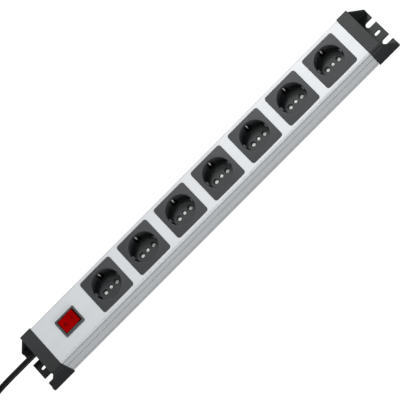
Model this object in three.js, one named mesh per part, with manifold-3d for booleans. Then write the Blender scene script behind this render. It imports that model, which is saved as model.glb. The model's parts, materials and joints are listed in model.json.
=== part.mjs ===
// Seven-way socket strip: an aluminium channel housing, seven square socket inserts with child
// shutters, three busbars, a lit rocker switch, two end caps with slotted mounting feet, and a
// mains lead with its plug, coiled for storage.
//
// Millimetres, +Z up. X runs along the strip, the lead leaves at -X, the object stands on z = 0.

import * as THREE from 'three';
import { mergeVertices } from 'three/addons/utils/BufferGeometryUtils.js';
import Module from 'manifold-3d';

const wasm = await Module();
wasm.setup();

// ---------------------------------------------------------------------------------------------
// Driving dimensions
// ---------------------------------------------------------------------------------------------

const gap = 0.3; // clearance between two pieces that would touch

const housing = {
  length: 543,
  width: 63,
  height: 47,
  lift: 0.5, // underside of the profile above the surface that the feet stand on
  topWall: 2.2,
  sideWall: 1.8,
  cornerRadius: 2.4,
  grooveWidth: 1.8,
  grooveDepth: 0.7,
  grooveDepthsBelowTop: [5.7, 20.9, 40.7],
  railReach: 2,
  railThickness: 1.1,
  screwChannelInset: 2.5, // channel centre from the inner side wall, and from the top wall
  screwChannelRadius: 2.9,
  screwChannelBore: 1.9,
};

const basePlateThickness = 2;

const socket = {
  count: 7,
  pitch: 65.5,
  faceLip: 2.6, // face beyond the body, all round
  faceRadius: 3.6,
  faceThickness: 1.1,
  bodyWall: 1.25, // outside the earth clip's slot
  bodyRadius: 2.6,
  bodyDepth: 23, // below the top of the profile
  wellDiameter: 39.5,
  wellDepth: 17.5, // below the face
  floorThickness: 2.3,
  chamberWall: 2.2,
  pinSpacing: 19,
  pinHole: 5.4,
  pinDish: 7.8,
  pinDishDepth: 1.1,
  centreHole: 5.2,
  lugWidth: 5.4,
  lugReach: 2.4,
  lugTop: 3, // lug stops this far below the face
  clipSlotWidth: 8.6,
  clipSlotDepth: 2.4, // cut into the wall of the well
};

const socketsEndMargin = 15; // plain end of the profile to the edge of the last socket face

const shutter = {
  thickness: 1.6,
  lobeRadius: 3.6,
  armWidth: 5,
  hubRadius: 2.2,
  hubDrop: 1,
};

const busbar = {
  thickness: 0.8,
  width: 6,
  offset: 9, // centre of the live and neutral strips from the socket line
  sleeveOuter: 7.2,
  sleeveBore: 5,
  sleeveSlit: 1.4,
  sleeveHeight: 12.5,
  belowShutter: 1.2, // top of the sleeves below the shutter's hub
  tail: 12, // strip beyond the first socket face, towards the switch
};

const earth = {
  belowBusbars: 4.3,
  width: 8,
  armWidth: 6.4,
  clipWidth: 2.6,
  clipBackRoom: 1.6,
  clipReach: 2.6, // how far the clip's nose stands into the well
  clipTopBelowFace: 5.5,
  noseDrop: 7,
};

const tray = {
  wall: 1.5,
  sideRoom: 1.65, // beside the earth clips
  belowEarth: 2.8,
  height: 13,
  overhang: 4,
  ribThickness: 2,
  lastRibBack: 8,
};

const cap = {
  bodyLength: 17.5,
  footLength: 18,
  proudTop: 1,
  proudShoulder: 1, // upper part of the sides, beyond the profile
  proudCheek: 1.8, // lower part of the sides and the gussets
  cheekDrop: 8.5, // top of the cheek below the top of the cap
  ledgeSlope: 0.6,
  cornerRadius: 1.8,
  wall: 2.2,
  plugDepth: 9,
  plugSideRoom: 0.5, // beside the rails of the profile
  plugTopRoom: 1.5, // below the screw channels
  footThickness: 3,
  gussetThickness: 2.8,
  gussetTipHeight: 7.2,
  slotWidth: 8,
  slotOffset: 16,
  slotDepth: 14,
  keyholeWidth: 4.6,
  keyholeLength: 9,
  keyholeFromTip: 9.2,
};

const screw = {
  headRadius: 3.1,
  headHeight: 1.8,
  shankRadius: 1.5,
  length: 22,
  crossWidth: 0.9,
  crossLength: 3.6,
  crossDepth: 1,
};

const rocker = {
  length: 25.8,
  width: 19.2,
  endHeight: 4.9, // above the hinge axis, before tilting
  middleHeight: 3.5,
  skirt: 4.5,
  axisBelowTop: 1.5,
  tilt: 8, // degrees either side of level
};

const switchFrame = {
  endRoom: 0.5, // between the rocker and the frame
  sideRoom: 0.4,
  endWall: 1.4,
  sideWall: 1.2,
  endLip: 1.2, // bezel beyond the body
  sideLip: 1.6,
  bezelThickness: 1.9,
  bezelBevel: 0.7,
  bezelRadius: 1.2,
  bodyDepth: 22,
  floor: 2,
};

const seesaw = {
  length: 19,
  width: 5,
  thickness: 0.9,
  offset: 5, // from the middle of the switch, across the strip
  axisBelowTop: 13.2,
};

const terminal = {
  width: 4.8,
  thickness: 0.8,
  drop: 8, // below the switch body
  sideOffset: 8.6,
};

const cord = {
  diameter: 7.5,
  exitY: 15.5,
  exitZ: 17,
  insideLength: 24,
  sides: 10,
};

const gland = {
  bodyRadius: 6,
  flangeRadius: 7.4,
  flangeThickness: 2.4,
  flangeChamfer: 0.8,
};

const clamp = {
  length: 18.4,
  width: 6,
  height: 5,
  screwOffset: 6.8,
  screwHeadRadius: 2.4,
  screwLength: 12,
};

const coil = {
  innerTurn: 32.2, // centre-line radius of the innermost turn
  turnRoom: 0.2, // between neighbouring turns
  turnsAcross: 3,
  layers: 2,
  centre: [-440, 20.5],
};

const cordTie = { width: 11, thickness: 0.9, angle: 120 };

const plug = {
  radius: 18.6,
  length: 33,
  shoulder: 4,
  reliefLength: 24,
  reliefTip: 5.4,
  pinRadius: 2.4,
  pinLength: 19,
  pinSeat: 12, // depth that the pins are moulded in
  pinRoom: 3, // left behind a pin in its bore
  pinTip: 2.4,
  pinTipRadius: 1.4,
  neck: 1.6, // the relief grows by this to its widest ring
  collar: 5, // and by this to the body
  edge: 1,
  reliefStart: [-512, -3], // where the lead enters it, seen from above
  level: 19,
  clipWidth: 6,
  clipLength: 16,
  clipThickness: 1,
  clipRecess: 1.6,
};

const wireRadius = 1.3;
const plungerRadius = 1.5;

// ---------------------------------------------------------------------------------------------
// Places worked out from the sizes above
// ---------------------------------------------------------------------------------------------

const housingTop = housing.lift + housing.height;
const housingEnd = housing.length / 2;
const innerHalfWidth = housing.width / 2 - housing.sideWall;
const innerTop = housingTop - housing.topWall;
const wellRadius = socket.wellDiameter / 2;
const socketBody = 2 * (wellRadius + socket.clipSlotDepth + socket.bodyWall);
const socketFace = socketBody + 2 * socket.faceLip;
const faceTop = housingTop + gap + socket.faceThickness;
const wellFloor = faceTop - socket.wellDepth;
const floorUnderside = wellFloor - socket.floorThickness;
const shutterTop = floorUnderside - gap;
const hubLow = shutterTop - shutter.thickness - shutter.hubDrop;
const busbarLevel = hubLow - busbar.belowShutter - busbar.sleeveHeight;
const earthLevel = busbarLevel - earth.belowBusbars;
const trayLevel = earthLevel - tray.belowEarth;
const riserOuter = wellRadius + socket.clipSlotDepth - gap;
const riserInner = riserOuter - busbar.thickness;
const trayHalfWidth = riserOuter + tray.sideRoom + tray.wall;
const lastSocketX = housingEnd - socketsEndMargin - socketFace / 2;
const firstSocketX = lastSocketX - (socket.count - 1) * socket.pitch;
const switchX = firstSocketX - socket.pitch;
const rockerAxisZ = housingTop - rocker.axisBelowTop;
const seesawAxisZ = housingTop - seesaw.axisBelowTop;
const capTop = housingTop + cap.proudTop;
const capEnd = housingEnd + cap.bodyLength;
const footEnd = capEnd + cap.footLength;
const railLevel = housing.lift + housing.railThickness;
const basePlateLevel = railLevel + gap;
const screwChannelY = innerHalfWidth - housing.screwChannelInset;
const screwChannelZ = innerTop - housing.screwChannelInset;
const barStart = firstSocketX - socketFace / 2 - busbar.tail;
const capShoulder = housing.width / 2 + cap.proudShoulder;
const capCheek = housing.width / 2 + cap.proudCheek;
const plugHalfWidth = innerHalfWidth - housing.railReach - cap.plugSideRoom;
const plugTop = screwChannelZ - housing.screwChannelRadius - cap.plugTopRoom;
const switchLength = rocker.length + 2 * (switchFrame.endRoom + switchFrame.endWall);
const switchWidth = rocker.width + 2 * (switchFrame.sideRoom + switchFrame.sideWall);
const turnStep = cord.diameter + coil.turnRoom;
const socketXs = Array.from({ length: socket.count }, (_, i) => firstSocketX + i * socket.pitch);

// ---------------------------------------------------------------------------------------------
// Materials
// ---------------------------------------------------------------------------------------------

function finish(color, roughness, metalness) {
  return new THREE.MeshStandardMaterial({ color, roughness, metalness });
}

const aluminium = finish(0xd8dadd, 0.38, 0.9);
const steelPlate = finish(0x9da1a4, 0.5, 0.7);
const capPlastic = finish(0x2c2e30, 0.55, 0);
const socketPlastic = finish(0x434648, 0.5, 0);
const shutterPlastic = finish(0xe9e9e4, 0.45, 0);
const carrierPlastic = finish(0xb9b7ae, 0.6, 0);
const bezelPlastic = finish(0x1d1f20, 0.4, 0);
const rockerPlastic = finish(0x9c0806, 0.25, 0);
const brass = finish(0xc9a24a, 0.35, 1);
const nickel = finish(0xc4c2bb, 0.3, 1);
const screwSteel = finish(0xa9abad, 0.35, 1);
const lampGlass = finish(0xf0a070, 0.15, 0);
const cordSheath = finish(0x121314, 0.55, 0);
const wireBrown = finish(0x5b3420, 0.5, 0);
const wireBlue = finish(0x2457a8, 0.5, 0);
const wireGreen = finish(0x6f9a2a, 0.5, 0);
const tieFabric = finish(0x1a1a1c, 0.9, 0);

// ---------------------------------------------------------------------------------------------
// Solids
// ---------------------------------------------------------------------------------------------

function toSolid(geometry) {
  const bare = geometry.index ? geometry.toNonIndexed() : geometry.clone();
  bare.deleteAttribute('normal');
  bare.deleteAttribute('uv');
  const merged = mergeVertices(bare, 1e-4);
  return new wasm.Manifold(new wasm.Mesh({
    numProp: 3,
    vertProperties: new Float32Array(merged.attributes.position.array),
    triVerts: new Uint32Array(merged.index.array),
  }));
}

function toGeometry(solid) {
  const mesh = solid.getMesh();
  const geometry = new THREE.BufferGeometry();
  geometry.setAttribute('position', new THREE.BufferAttribute(new Float32Array(mesh.vertProperties), 3));
  geometry.setIndex(new THREE.BufferAttribute(new Uint32Array(mesh.triVerts), 1));
  return geometry;
}

function join(...solids) {
  return solids.reduce((whole, piece) => whole.add(piece));
}

function cut(solid, ...tools) {
  return tools.reduce((left, tool) => left.subtract(tool), solid);
}

// A box between two corners.
function block(low, high) {
  const size = high.map((value, axis) => value - low[axis]);
  const middle = high.map((value, axis) => (value + low[axis]) / 2);
  return toSolid(new THREE.BoxGeometry(...size).translate(...middle));
}

// A cylinder along Z, X or Y, given by its middle.
function rod(radius, length, middle, axis = 'z', sides = 16, endRadius = radius) {
  const geometry = new THREE.CylinderGeometry(endRadius, radius, length, sides);
  if (axis === 'z') geometry.rotateX(Math.PI / 2);
  if (axis === 'x') geometry.rotateZ(-Math.PI / 2);
  return toSolid(geometry.translate(...middle));
}

function roundedRectangle(width, height, radius) {
  const shape = new THREE.Shape();
  const x = width / 2;
  const y = height / 2;
  shape.moveTo(-x + radius, -y);
  shape.lineTo(x - radius, -y);
  shape.absarc(x - radius, -y + radius, radius, -Math.PI / 2, 0, false);
  shape.lineTo(x, y - radius);
  shape.absarc(x - radius, y - radius, radius, 0, Math.PI / 2, false);
  shape.lineTo(-x + radius, y);
  shape.absarc(-x + radius, y - radius, radius, Math.PI / 2, Math.PI, false);
  shape.lineTo(-x, -y + radius);
  shape.absarc(-x + radius, -y + radius, radius, Math.PI, 1.5 * Math.PI, false);
  return shape;
}

// A plan-view outline standing from z = low to z = high.
function standing(shape, low, high, segments = 4) {
  const options = { depth: high - low, bevelEnabled: false, curveSegments: segments };
  return toSolid(new THREE.ExtrudeGeometry(shape, options).translate(0, 0, low));
}

// A section drawn in (y, z), run from x = low to x = high.
function alongX(shape, low, high, segments = 4) {
  const geometry = new THREE.ExtrudeGeometry(shape, {
    depth: high - low,
    bevelEnabled: false,
    curveSegments: segments,
  });
  const turn = new THREE.Matrix4().set(
    0, 0, 1, low,
    1, 0, 0, 0,
    0, 1, 0, 0,
    0, 0, 0, 1,
  );
  return toSolid(geometry.applyMatrix4(turn));
}

// A side outline drawn in (x, z), run from y = low to y = high.
function alongY(points, low, high) {
  const shape = new THREE.Shape(points.map(([x, z]) => new THREE.Vector2(x, -z)));
  const options = { depth: high - low, bevelEnabled: false };
  return toSolid(new THREE.ExtrudeGeometry(shape, options).rotateX(-Math.PI / 2).translate(0, low, 0));
}

function placed(solid, x, y = 0, z = 0) {
  return solid.translate([x, y, z]);
}

// A round bar along a smooth curve through the given points.
function bentRod(points, radius, sides, steps) {
  const curve = new THREE.CatmullRomCurve3(points.map((p) => new THREE.Vector3(...p)), false, 'centripetal');
  const corners = Array.from({ length: sides }, (_, i) => {
    const angle = (2 * Math.PI * i) / sides;
    return new THREE.Vector2(radius * Math.cos(angle), radius * Math.sin(angle));
  });
  return new THREE.ExtrudeGeometry(new THREE.Shape(corners), {
    steps,
    extrudePath: curve,
    bevelEnabled: false,
  });
}

// ---------------------------------------------------------------------------------------------
// Housing
// ---------------------------------------------------------------------------------------------

function housingSection() {
  const halfWidth = housing.width / 2;
  const radius = housing.cornerRadius;
  const low = housing.lift;
  const railInner = innerHalfWidth - housing.railReach;
  const railTop = basePlateLevel + basePlateThickness + gap;
  const right = [[halfWidth, low]];
  for (const depth of [...housing.grooveDepthsBelowTop].reverse()) {
    const middle = housingTop - depth;
    const half = housing.grooveWidth / 2;
    right.push([halfWidth, middle - half]);
    right.push([halfWidth - housing.grooveDepth, middle - half * 0.35]);
    right.push([halfWidth - housing.grooveDepth, middle + half * 0.35]);
    right.push([halfWidth, middle + half]);
  }
  for (let step = 0; step <= 4; step += 1) {
    const angle = (step / 4) * (Math.PI / 2);
    const y = halfWidth - radius + radius * Math.cos(angle);
    right.push([y, housingTop - radius + radius * Math.sin(angle)]);
  }
  const inner = [
    [innerHalfWidth, innerTop],
    [innerHalfWidth, railTop + housing.railThickness],
    [railInner, railTop + housing.railThickness],
    [railInner, railTop],
    [innerHalfWidth, railTop],
    [innerHalfWidth, railLevel],
    [railInner, railLevel],
    [railInner, low],
  ];
  const mirror = ([y, z]) => [-y, z];
  const outline = [
    ...right,
    ...[...right].reverse().map(mirror),
    ...[...inner].reverse().map(mirror),
    ...inner,
  ];
  return new THREE.Shape(outline.map(([y, z]) => new THREE.Vector2(y, z)));
}

function makeHousing() {
  let solid = alongX(housingSection(), -housingEnd, housingEnd);
  for (const side of [-1, 1]) {
    const centre = [0, side * screwChannelY, screwChannelZ];
    const channel = rod(housing.screwChannelRadius, housing.length, centre, 'x', 12);
    const corner = block(
      [-housingEnd, Math.min(side * screwChannelY, side * (innerHalfWidth + 0.5)), screwChannelZ],
      [housingEnd, Math.max(side * screwChannelY, side * (innerHalfWidth + 0.5)), innerTop + 0.5],
    );
    const bore = rod(housing.screwChannelBore, housing.length + 2, centre, 'x', 10);
    solid = cut(join(solid, channel, corner), bore);
  }
  const opening = socketBody + 2 * gap;
  const socketHole = standing(
    roundedRectangle(opening, opening, socket.bodyRadius + gap),
    innerTop - 6,
    housingTop + 1,
    2,
  );
  const switchHole = block(
    [-switchLength / 2 - gap, -switchWidth / 2 - gap, innerTop - 6],
    [switchLength / 2 + gap, switchWidth / 2 + gap, housingTop + 1],
  );
  for (const x of socketXs) solid = cut(solid, placed(socketHole, x));
  return cut(solid, placed(switchHole, switchX));
}

function makeBasePlate() {
  const halfWidth = innerHalfWidth - gap;
  const halfLength = housingEnd - cap.plugDepth - gap;
  return block(
    [-halfLength, -halfWidth, basePlateLevel],
    [halfLength, halfWidth, basePlateLevel + basePlateThickness],
  );
}

// ---------------------------------------------------------------------------------------------
// End caps, drawn for the +X end
// ---------------------------------------------------------------------------------------------

function capSection() {
  const ledge = capTop - cap.cheekDrop;
  const radius = cap.cornerRadius;
  const right = [[capCheek, 0], [capCheek, ledge - cap.ledgeSlope], [capShoulder, ledge]];
  for (let step = 0; step <= 4; step += 1) {
    const angle = (step / 4) * (Math.PI / 2);
    right.push([capShoulder - radius + radius * Math.cos(angle), capTop - radius + radius * Math.sin(angle)]);
  }
  const left = [...right].reverse().map(([y, z]) => [-y, z]);
  return new THREE.Shape([...right, ...left].map(([y, z]) => new THREE.Vector2(y, z)));
}

function gusset() {
  const ledge = capTop - cap.cheekDrop - cap.ledgeSlope;
  const outline = [
    [capEnd - 1, 0],
    [footEnd, 0],
    [footEnd, cap.gussetTipHeight],
    [capEnd, ledge],
    [capEnd - 1, ledge],
  ];
  return alongY(outline, capCheek - cap.gussetThickness, capCheek);
}

function footSlots() {
  const slotCentreX = footEnd - cap.slotDepth + cap.slotWidth / 2;
  const tools = [];
  for (const side of [-1, 1]) {
    const y = side * cap.slotOffset;
    const half = cap.slotWidth / 2;
    tools.push(rod(half, cap.footThickness + 2, [slotCentreX, y, cap.footThickness / 2], 'z', 24));
    tools.push(block([slotCentreX, y - half, -1], [footEnd + 1, y + half, cap.footThickness + 1]));
  }
  const keyholeX = footEnd - cap.keyholeFromTip;
  const keyhole = roundedRectangle(cap.keyholeLength, cap.keyholeWidth, cap.keyholeWidth / 2 - 0.01);
  tools.push(placed(standing(keyhole, -1, cap.footThickness + 1, 6), keyholeX));
  return tools;
}

function makeCap() {
  const start = housingEnd + gap;
  const right = gusset();
  const left = right.mirror([0, 1, 0]);
  const body = alongX(capSection(), start, capEnd);
  const foot = block(
    [capEnd - 1, -capCheek, 0],
    [footEnd, capCheek, cap.footThickness],
  );
  const plugLow = basePlateLevel;
  const plugHigh = plugTop;
  const sleeve = block(
    [housingEnd - cap.plugDepth, -plugHalfWidth, plugLow],
    [start + 1, plugHalfWidth, plugHigh],
  );
  const pocket = block(
    [housingEnd - cap.plugDepth - 1, -plugHalfWidth + cap.wall, plugLow + cap.wall],
    [capEnd - cap.wall, plugHalfWidth - cap.wall, plugHigh - cap.wall],
  );
  let solid = cut(join(body, foot, right, left, sleeve), pocket, ...footSlots());
  for (const side of [-1, 1]) {
    const place = [capEnd, side * screwChannelY, screwChannelZ];
    const recess = rod(screw.headRadius + gap, 2 * (screw.headHeight + gap), place, 'x', 16);
    const bore = rod(screw.shankRadius + gap, 4 * cap.bodyLength, place, 'x', 12);
    solid = cut(solid, recess, bore);
  }
  return solid;
}

function makeCordCap() {
  const wall = capEnd - cap.wall / 2;
  const bore = rod(gland.bodyRadius + gap, 3 * cap.wall, [wall, -cord.exitY, cord.exitZ], 'x', 20);
  const shelfTop = cord.exitZ - cord.diameter / 2 - gap;
  const shelf = block(
    [housingEnd - cap.plugDepth, -cord.exitY - clamp.length / 2, basePlateLevel + cap.wall - 0.5],
    [housingEnd + cap.wall, -cord.exitY + clamp.length / 2, shelfTop],
  );
  let solid = join(cut(makeCap(), bore), shelf);
  for (const side of [-1, 1]) {
    const place = [clampX(), -cord.exitY + side * clamp.screwOffset, shelfTop];
    solid = cut(solid, rod(screw.shankRadius + gap, 12, place, 'z', 10));
  }
  return solid.rotate([0, 0, 180]);
}

function makeCapScrew() {
  const head = rod(screw.headRadius, screw.headHeight, [-screw.headHeight / 2, 0, 0], 'x', 12);
  const shank = rod(screw.shankRadius, screw.length, [-screw.length / 2, 0, 0], 'x', 8);
  const long = screw.crossLength / 2;
  const slim = screw.crossWidth / 2;
  const upright = block([-screw.crossDepth, -slim, -long], [1, slim, long]);
  const across = block([-screw.crossDepth, -long, -slim], [1, long, slim]);
  return cut(join(head, shank), upright, across);
}

// ---------------------------------------------------------------------------------------------
// Sockets, drawn about their own centre line
// ---------------------------------------------------------------------------------------------

function makeInsert() {
  const bodyLow = housingTop - socket.bodyDepth;
  const face = standing(
    roundedRectangle(socketFace, socketFace, socket.faceRadius),
    housingTop + gap,
    faceTop,
    3,
  );
  const body = standing(
    roundedRectangle(socketBody, socketBody, socket.bodyRadius),
    bodyLow,
    housingTop + gap + 0.1,
    2,
  );
  const well = rod(wellRadius, socket.wellDepth + 2, [0, 0, wellFloor + socket.wellDepth / 2 + 1], 'z', 32);
  const chamberHalf = socketBody / 2 - socket.chamberWall;
  const chamber = block([-chamberHalf, -chamberHalf, bodyLow - 1], [chamberHalf, chamberHalf, floorUnderside]);
  let solid = cut(join(face, body), well, chamber);
  for (const side of [-1, 1]) {
    const lugOuter = side * (wellRadius + 0.6);
    const lugInner = side * (wellRadius - socket.lugReach);
    const lug = block(
      [Math.min(lugOuter, lugInner), -socket.lugWidth / 2, wellFloor - 0.5],
      [Math.max(lugOuter, lugInner), socket.lugWidth / 2, faceTop - socket.lugTop],
    );
    const slotInner = side * (wellRadius - 3);
    const slotOuter = side * (wellRadius + socket.clipSlotDepth);
    const clipSlot = block(
      [-socket.clipSlotWidth / 2, Math.min(slotInner, slotOuter), bodyLow - 1],
      [socket.clipSlotWidth / 2, Math.max(slotInner, slotOuter), faceTop - earth.clipTopBelowFace + 1.5],
    );
    const pinX = (side * socket.pinSpacing) / 2;
    const floorMiddle = (wellFloor + floorUnderside) / 2;
    const pinHole = rod(socket.pinHole / 2, socket.floorThickness + 2, [pinX, 0, floorMiddle], 'z', 10);
    const dish = rod(
      socket.pinHole / 2,
      socket.pinDishDepth,
      [pinX, 0, wellFloor - socket.pinDishDepth / 2],
      'z',
      10,
      socket.pinDish / 2,
    );
    solid = cut(join(solid, lug), clipSlot, pinHole, dish);
  }
  const centre = [0, 0, (wellFloor + floorUnderside) / 2];
  return cut(solid, rod(socket.centreHole / 2, socket.floorThickness + 2, centre, 'z', 10));
}

function makeShutter() {
  const high = shutterTop;
  const low = high - shutter.thickness;
  const reach = socket.pinSpacing / 2;
  const middle = (high + low) / 2;
  const arm = block([-reach, -shutter.armWidth / 2, low], [reach, shutter.armWidth / 2, high]);
  const lobes = [-1, 1].map((side) => rod(shutter.lobeRadius, shutter.thickness, [side * reach, 0, middle], 'z', 10));
  const hubHigh = wellFloor - gap;
  const hub = rod(shutter.hubRadius, hubHigh - hubLow, [0, 0, (hubHigh + hubLow) / 2], 'z', 8);
  return join(arm, ...lobes, hub);
}

// ---------------------------------------------------------------------------------------------
// Busbars and their tray
// ---------------------------------------------------------------------------------------------

// side is +1 for the strip on the +Y side, whose sleeves stand at the -X pins, and -1 for the other.
function makeBusbar(side) {
  const low = busbarLevel;
  const high = low + busbar.thickness;
  const end = lastSocketX + socket.pinSpacing / 2 + busbar.width / 2;
  const stripMiddle = side * busbar.offset;
  const strip = block([barStart, stripMiddle - busbar.width / 2, low], [end, stripMiddle + busbar.width / 2, high]);
  const outer = busbar.sleeveOuter / 2;
  const sleeveTop = low + busbar.sleeveHeight;
  const slitLow = high + 2;
  const slit = block([-outer - 1, -busbar.sleeveSlit / 2, slitLow], [outer + 1, busbar.sleeveSlit / 2, sleeveTop + 1]);
  const armEnd = side * (busbar.offset - busbar.width / 2 + 0.5);
  const arm = block([-2.5, Math.min(0, armEnd), low], [2.5, Math.max(0, armEnd), high]);
  const tube = rod(outer, busbar.sleeveHeight, [0, 0, (low + sleeveTop) / 2], 'z', 8);
  const bore = rod(busbar.sleeveBore / 2, busbar.sleeveHeight + 2, [0, 0, (low + sleeveTop) / 2], 'z', 8);
  const contact = cut(join(tube, arm), bore, slit);
  const contacts = socketXs.map((x) => placed(contact, x - (side * socket.pinSpacing) / 2));
  return join(strip, ...contacts);
}

function makeEarthBar() {
  const low = earthLevel;
  const high = low + busbar.thickness;
  const end = lastSocketX + earth.width / 2;
  const strip = block([barStart, -earth.width / 2, low], [end, earth.width / 2, high]);
  const armHalf = earth.armWidth / 2;
  const cross = block([-armHalf, -riserOuter, low], [armHalf, riserOuter, high]);
  const top = faceTop - earth.clipTopBelowFace;
  const nose = wellRadius - earth.clipReach;
  const knee = top - earth.noseDrop;
  const profile = [
    [riserOuter, low],
    [riserOuter, top],
    [riserInner, top],
    [nose, knee],
    [riserInner, knee - earth.noseDrop],
    [riserInner, low],
  ];
  const shape = new THREE.Shape(profile.map(([y, z]) => new THREE.Vector2(y, z)));
  const backProfile = [
    [riserOuter + 0.01, top - earth.clipBackRoom],
    [riserInner + 0.1, top - earth.clipBackRoom],
    [nose + 1.2, knee],
    [riserInner + 0.1, knee - earth.noseDrop + earth.clipBackRoom],
    [riserOuter + 0.01, knee - earth.noseDrop + earth.clipBackRoom],
  ];
  const back = new THREE.Shape(backProfile.map(([y, z]) => new THREE.Vector2(y, z)));
  const clipHalf = earth.clipWidth / 2;
  const clip = cut(alongX(shape, -clipHalf, clipHalf), alongX(back, -armHalf, armHalf));
  const contact = join(cross, clip, clip.mirror([0, 1, 0]));
  return join(strip, ...socketXs.map((x) => placed(contact, x)));
}

function makeTray() {
  const start = firstSocketX - socketFace / 2 - tray.overhang;
  const end = lastSocketX + socketFace / 2;
  const low = trayLevel;
  const outer = block([start, -trayHalfWidth, low], [end, trayHalfWidth, low + tray.height]);
  const inner = block(
    [start - 1, -trayHalfWidth + tray.wall, low + tray.wall],
    [end - tray.wall, trayHalfWidth - tray.wall, low + tray.height + 1],
  );
  let solid = cut(outer, inner);
  const ribHigh = busbarLevel - gap;
  for (const socketX of socketXs) {
    const x = socketX + Math.min(socket.pitch / 2, socketFace / 2 - tray.lastRibBack);
    for (const side of [-1, 1]) {
      const near = side * (earth.width / 2 + 1);
      const far = side * (busbar.offset + busbar.width / 2);
      const rib = block(
        [x - tray.ribThickness / 2, Math.min(near, far), low + tray.wall - 0.2],
        [x + tray.ribThickness / 2, Math.max(near, far), ribHigh],
      );
      solid = join(solid, rib);
    }
  }
  return solid;
}

// ---------------------------------------------------------------------------------------------
// Switch, drawn about its own middle
// ---------------------------------------------------------------------------------------------

function makeSwitchFrame() {
  const low = housingTop - switchFrame.bodyDepth;
  const bezelShape = roundedRectangle(
    switchLength + 2 * (switchFrame.endLip - switchFrame.bezelBevel),
    switchWidth + 2 * (switchFrame.sideLip - switchFrame.bezelBevel),
    switchFrame.bezelRadius,
  );
  const bezelLow = housingTop + gap;
  const plateTop = bezelLow + switchFrame.bezelThickness - switchFrame.bezelBevel;
  const bezelGeometry = new THREE.ExtrudeGeometry(bezelShape, {
    depth: plateTop - bezelLow - switchFrame.bezelBevel,
    bevelEnabled: true,
    bevelSize: switchFrame.bezelBevel,
    bevelThickness: switchFrame.bezelBevel,
    bevelSegments: 1,
    curveSegments: 2,
  });
  const bezel = toSolid(bezelGeometry.translate(0, 0, bezelLow + switchFrame.bezelBevel));
  const halfLength = switchLength / 2;
  const halfWidth = switchWidth / 2;
  const body = block([-halfLength, -halfWidth, low], [halfLength, halfWidth, bezelLow + 0.5]);
  const wellX = rocker.length / 2 + switchFrame.endRoom;
  const wellY = rocker.width / 2 + switchFrame.sideRoom;
  const well = block([-wellX, -wellY, low + switchFrame.floor], [wellX, wellY, housingTop + 6]);
  let solid = cut(join(bezel, body), well);
  for (const side of [-1, 1]) {
    const y = side * seesaw.offset;
    for (const x of [0, -terminal.sideOffset]) {
      const slot = block(
        [x - terminal.thickness / 2 - gap, y - terminal.width / 2 - gap, low - 1],
        [x + terminal.thickness / 2 + gap, y + terminal.width / 2 + gap, low + switchFrame.floor + 1],
      );
      solid = cut(solid, slot);
    }
  }
  return solid;
}

function makeRocker() {
  const reach = rocker.length / 2;
  const outline = [];
  const arcSteps = 6;
  const lowAngle = -Math.asin(rocker.skirt / reach);
  const highAngle = Math.asin(rocker.endHeight / reach);
  for (let step = 0; step <= arcSteps; step += 1) {
    const angle = lowAngle + ((highAngle - lowAngle) * step) / arcSteps;
    outline.push([reach * Math.cos(angle), reach * Math.sin(angle)]);
  }
  outline.push([0, rocker.middleHeight]);
  for (let step = 0; step <= arcSteps; step += 1) {
    const angle = highAngle + ((lowAngle - highAngle) * step) / arcSteps;
    outline.push([-reach * Math.cos(angle), reach * Math.sin(angle)]);
  }
  const half = rocker.width / 2;
  const shell = alongY(outline, -half, half);
  const hollow = block(
    [-reach + 3, -half + 1.6, -rocker.skirt - 1],
    [reach - 3, half - 1.6, rocker.middleHeight - 1.8],
  );
  const bosses = [-1, 1].map((side) => rod(plungerRadius + 1.3, 5, [0, side * seesaw.offset, -0.8], 'z', 12));
  const bores = [-1, 1].map((side) => rod(plungerRadius + gap, 6, [0, side * seesaw.offset, -2.6], 'z', 12));
  return cut(join(cut(shell, hollow), ...bosses), ...bores);
}

function makePlunger() {
  const high = 0.1;
  const low = seesawAxisZ - rockerAxisZ + seesaw.thickness / 2 + 1.1;
  const shank = rod(plungerRadius, high - low - plungerRadius, [0, 0, (high + low + plungerRadius) / 2], 'z', 12);
  const tip = rod(plungerRadius * 0.45, plungerRadius, [0, 0, low + plungerRadius / 2], 'z', 12, plungerRadius);
  return join(shank, tip);
}

function makeSeesaw() {
  const half = seesaw.length / 2;
  const thin = seesaw.thickness / 2;
  const outline = [
    [-half, -thin - 0.5],
    [-half + 2.5, -thin],
    [half - 2.5, -thin],
    [half, -thin - 0.5],
    [half, thin - 0.5],
    [half - 2.5, thin],
    [-half + 2.5, thin],
    [-half, thin - 0.5],
  ];
  return alongY(outline, -seesaw.width / 2, seesaw.width / 2);
}

// kind is 'pivot' for the blade under the middle of a see-saw, 'fixed' for the one under its end.
function makeTerminal(kind) {
  const bottom = housingTop - switchFrame.bodyDepth - terminal.drop;
  const halfWidth = terminal.width / 2;
  const thin = terminal.thickness / 2;
  const endDrop = Math.sin(THREE.MathUtils.degToRad(rocker.tilt)) * terminal.sideOffset;
  const clearance = kind === 'pivot' ? 0.5 : endDrop + 0.9;
  const top = seesawAxisZ - seesaw.thickness / 2 - clearance;
  const blade = block([-thin, -halfWidth, bottom], [thin, halfWidth, top]);
  const pad = block([-1.6, -halfWidth + 0.6, top - 0.9], [1.6, halfWidth - 0.6, top]);
  const hole = rod(0.9, 3, [0, 0, bottom + 2.4], 'x', 8);
  return cut(join(blade, pad), hole);
}

function makeLamp() {
  const body = rod(1.6, 7, [0, 0, 0], 'y', 10);
  const leg = block([-0.4, -0.4, -5.4], [0.4, 0.4, 0]);
  return join(body, leg);
}

// ---------------------------------------------------------------------------------------------
// Lead: gland, clamp, wires, cord, coil, tie and plug
// ---------------------------------------------------------------------------------------------

function clampX() {
  return housingEnd - cap.plugDepth / 2;
}

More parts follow.
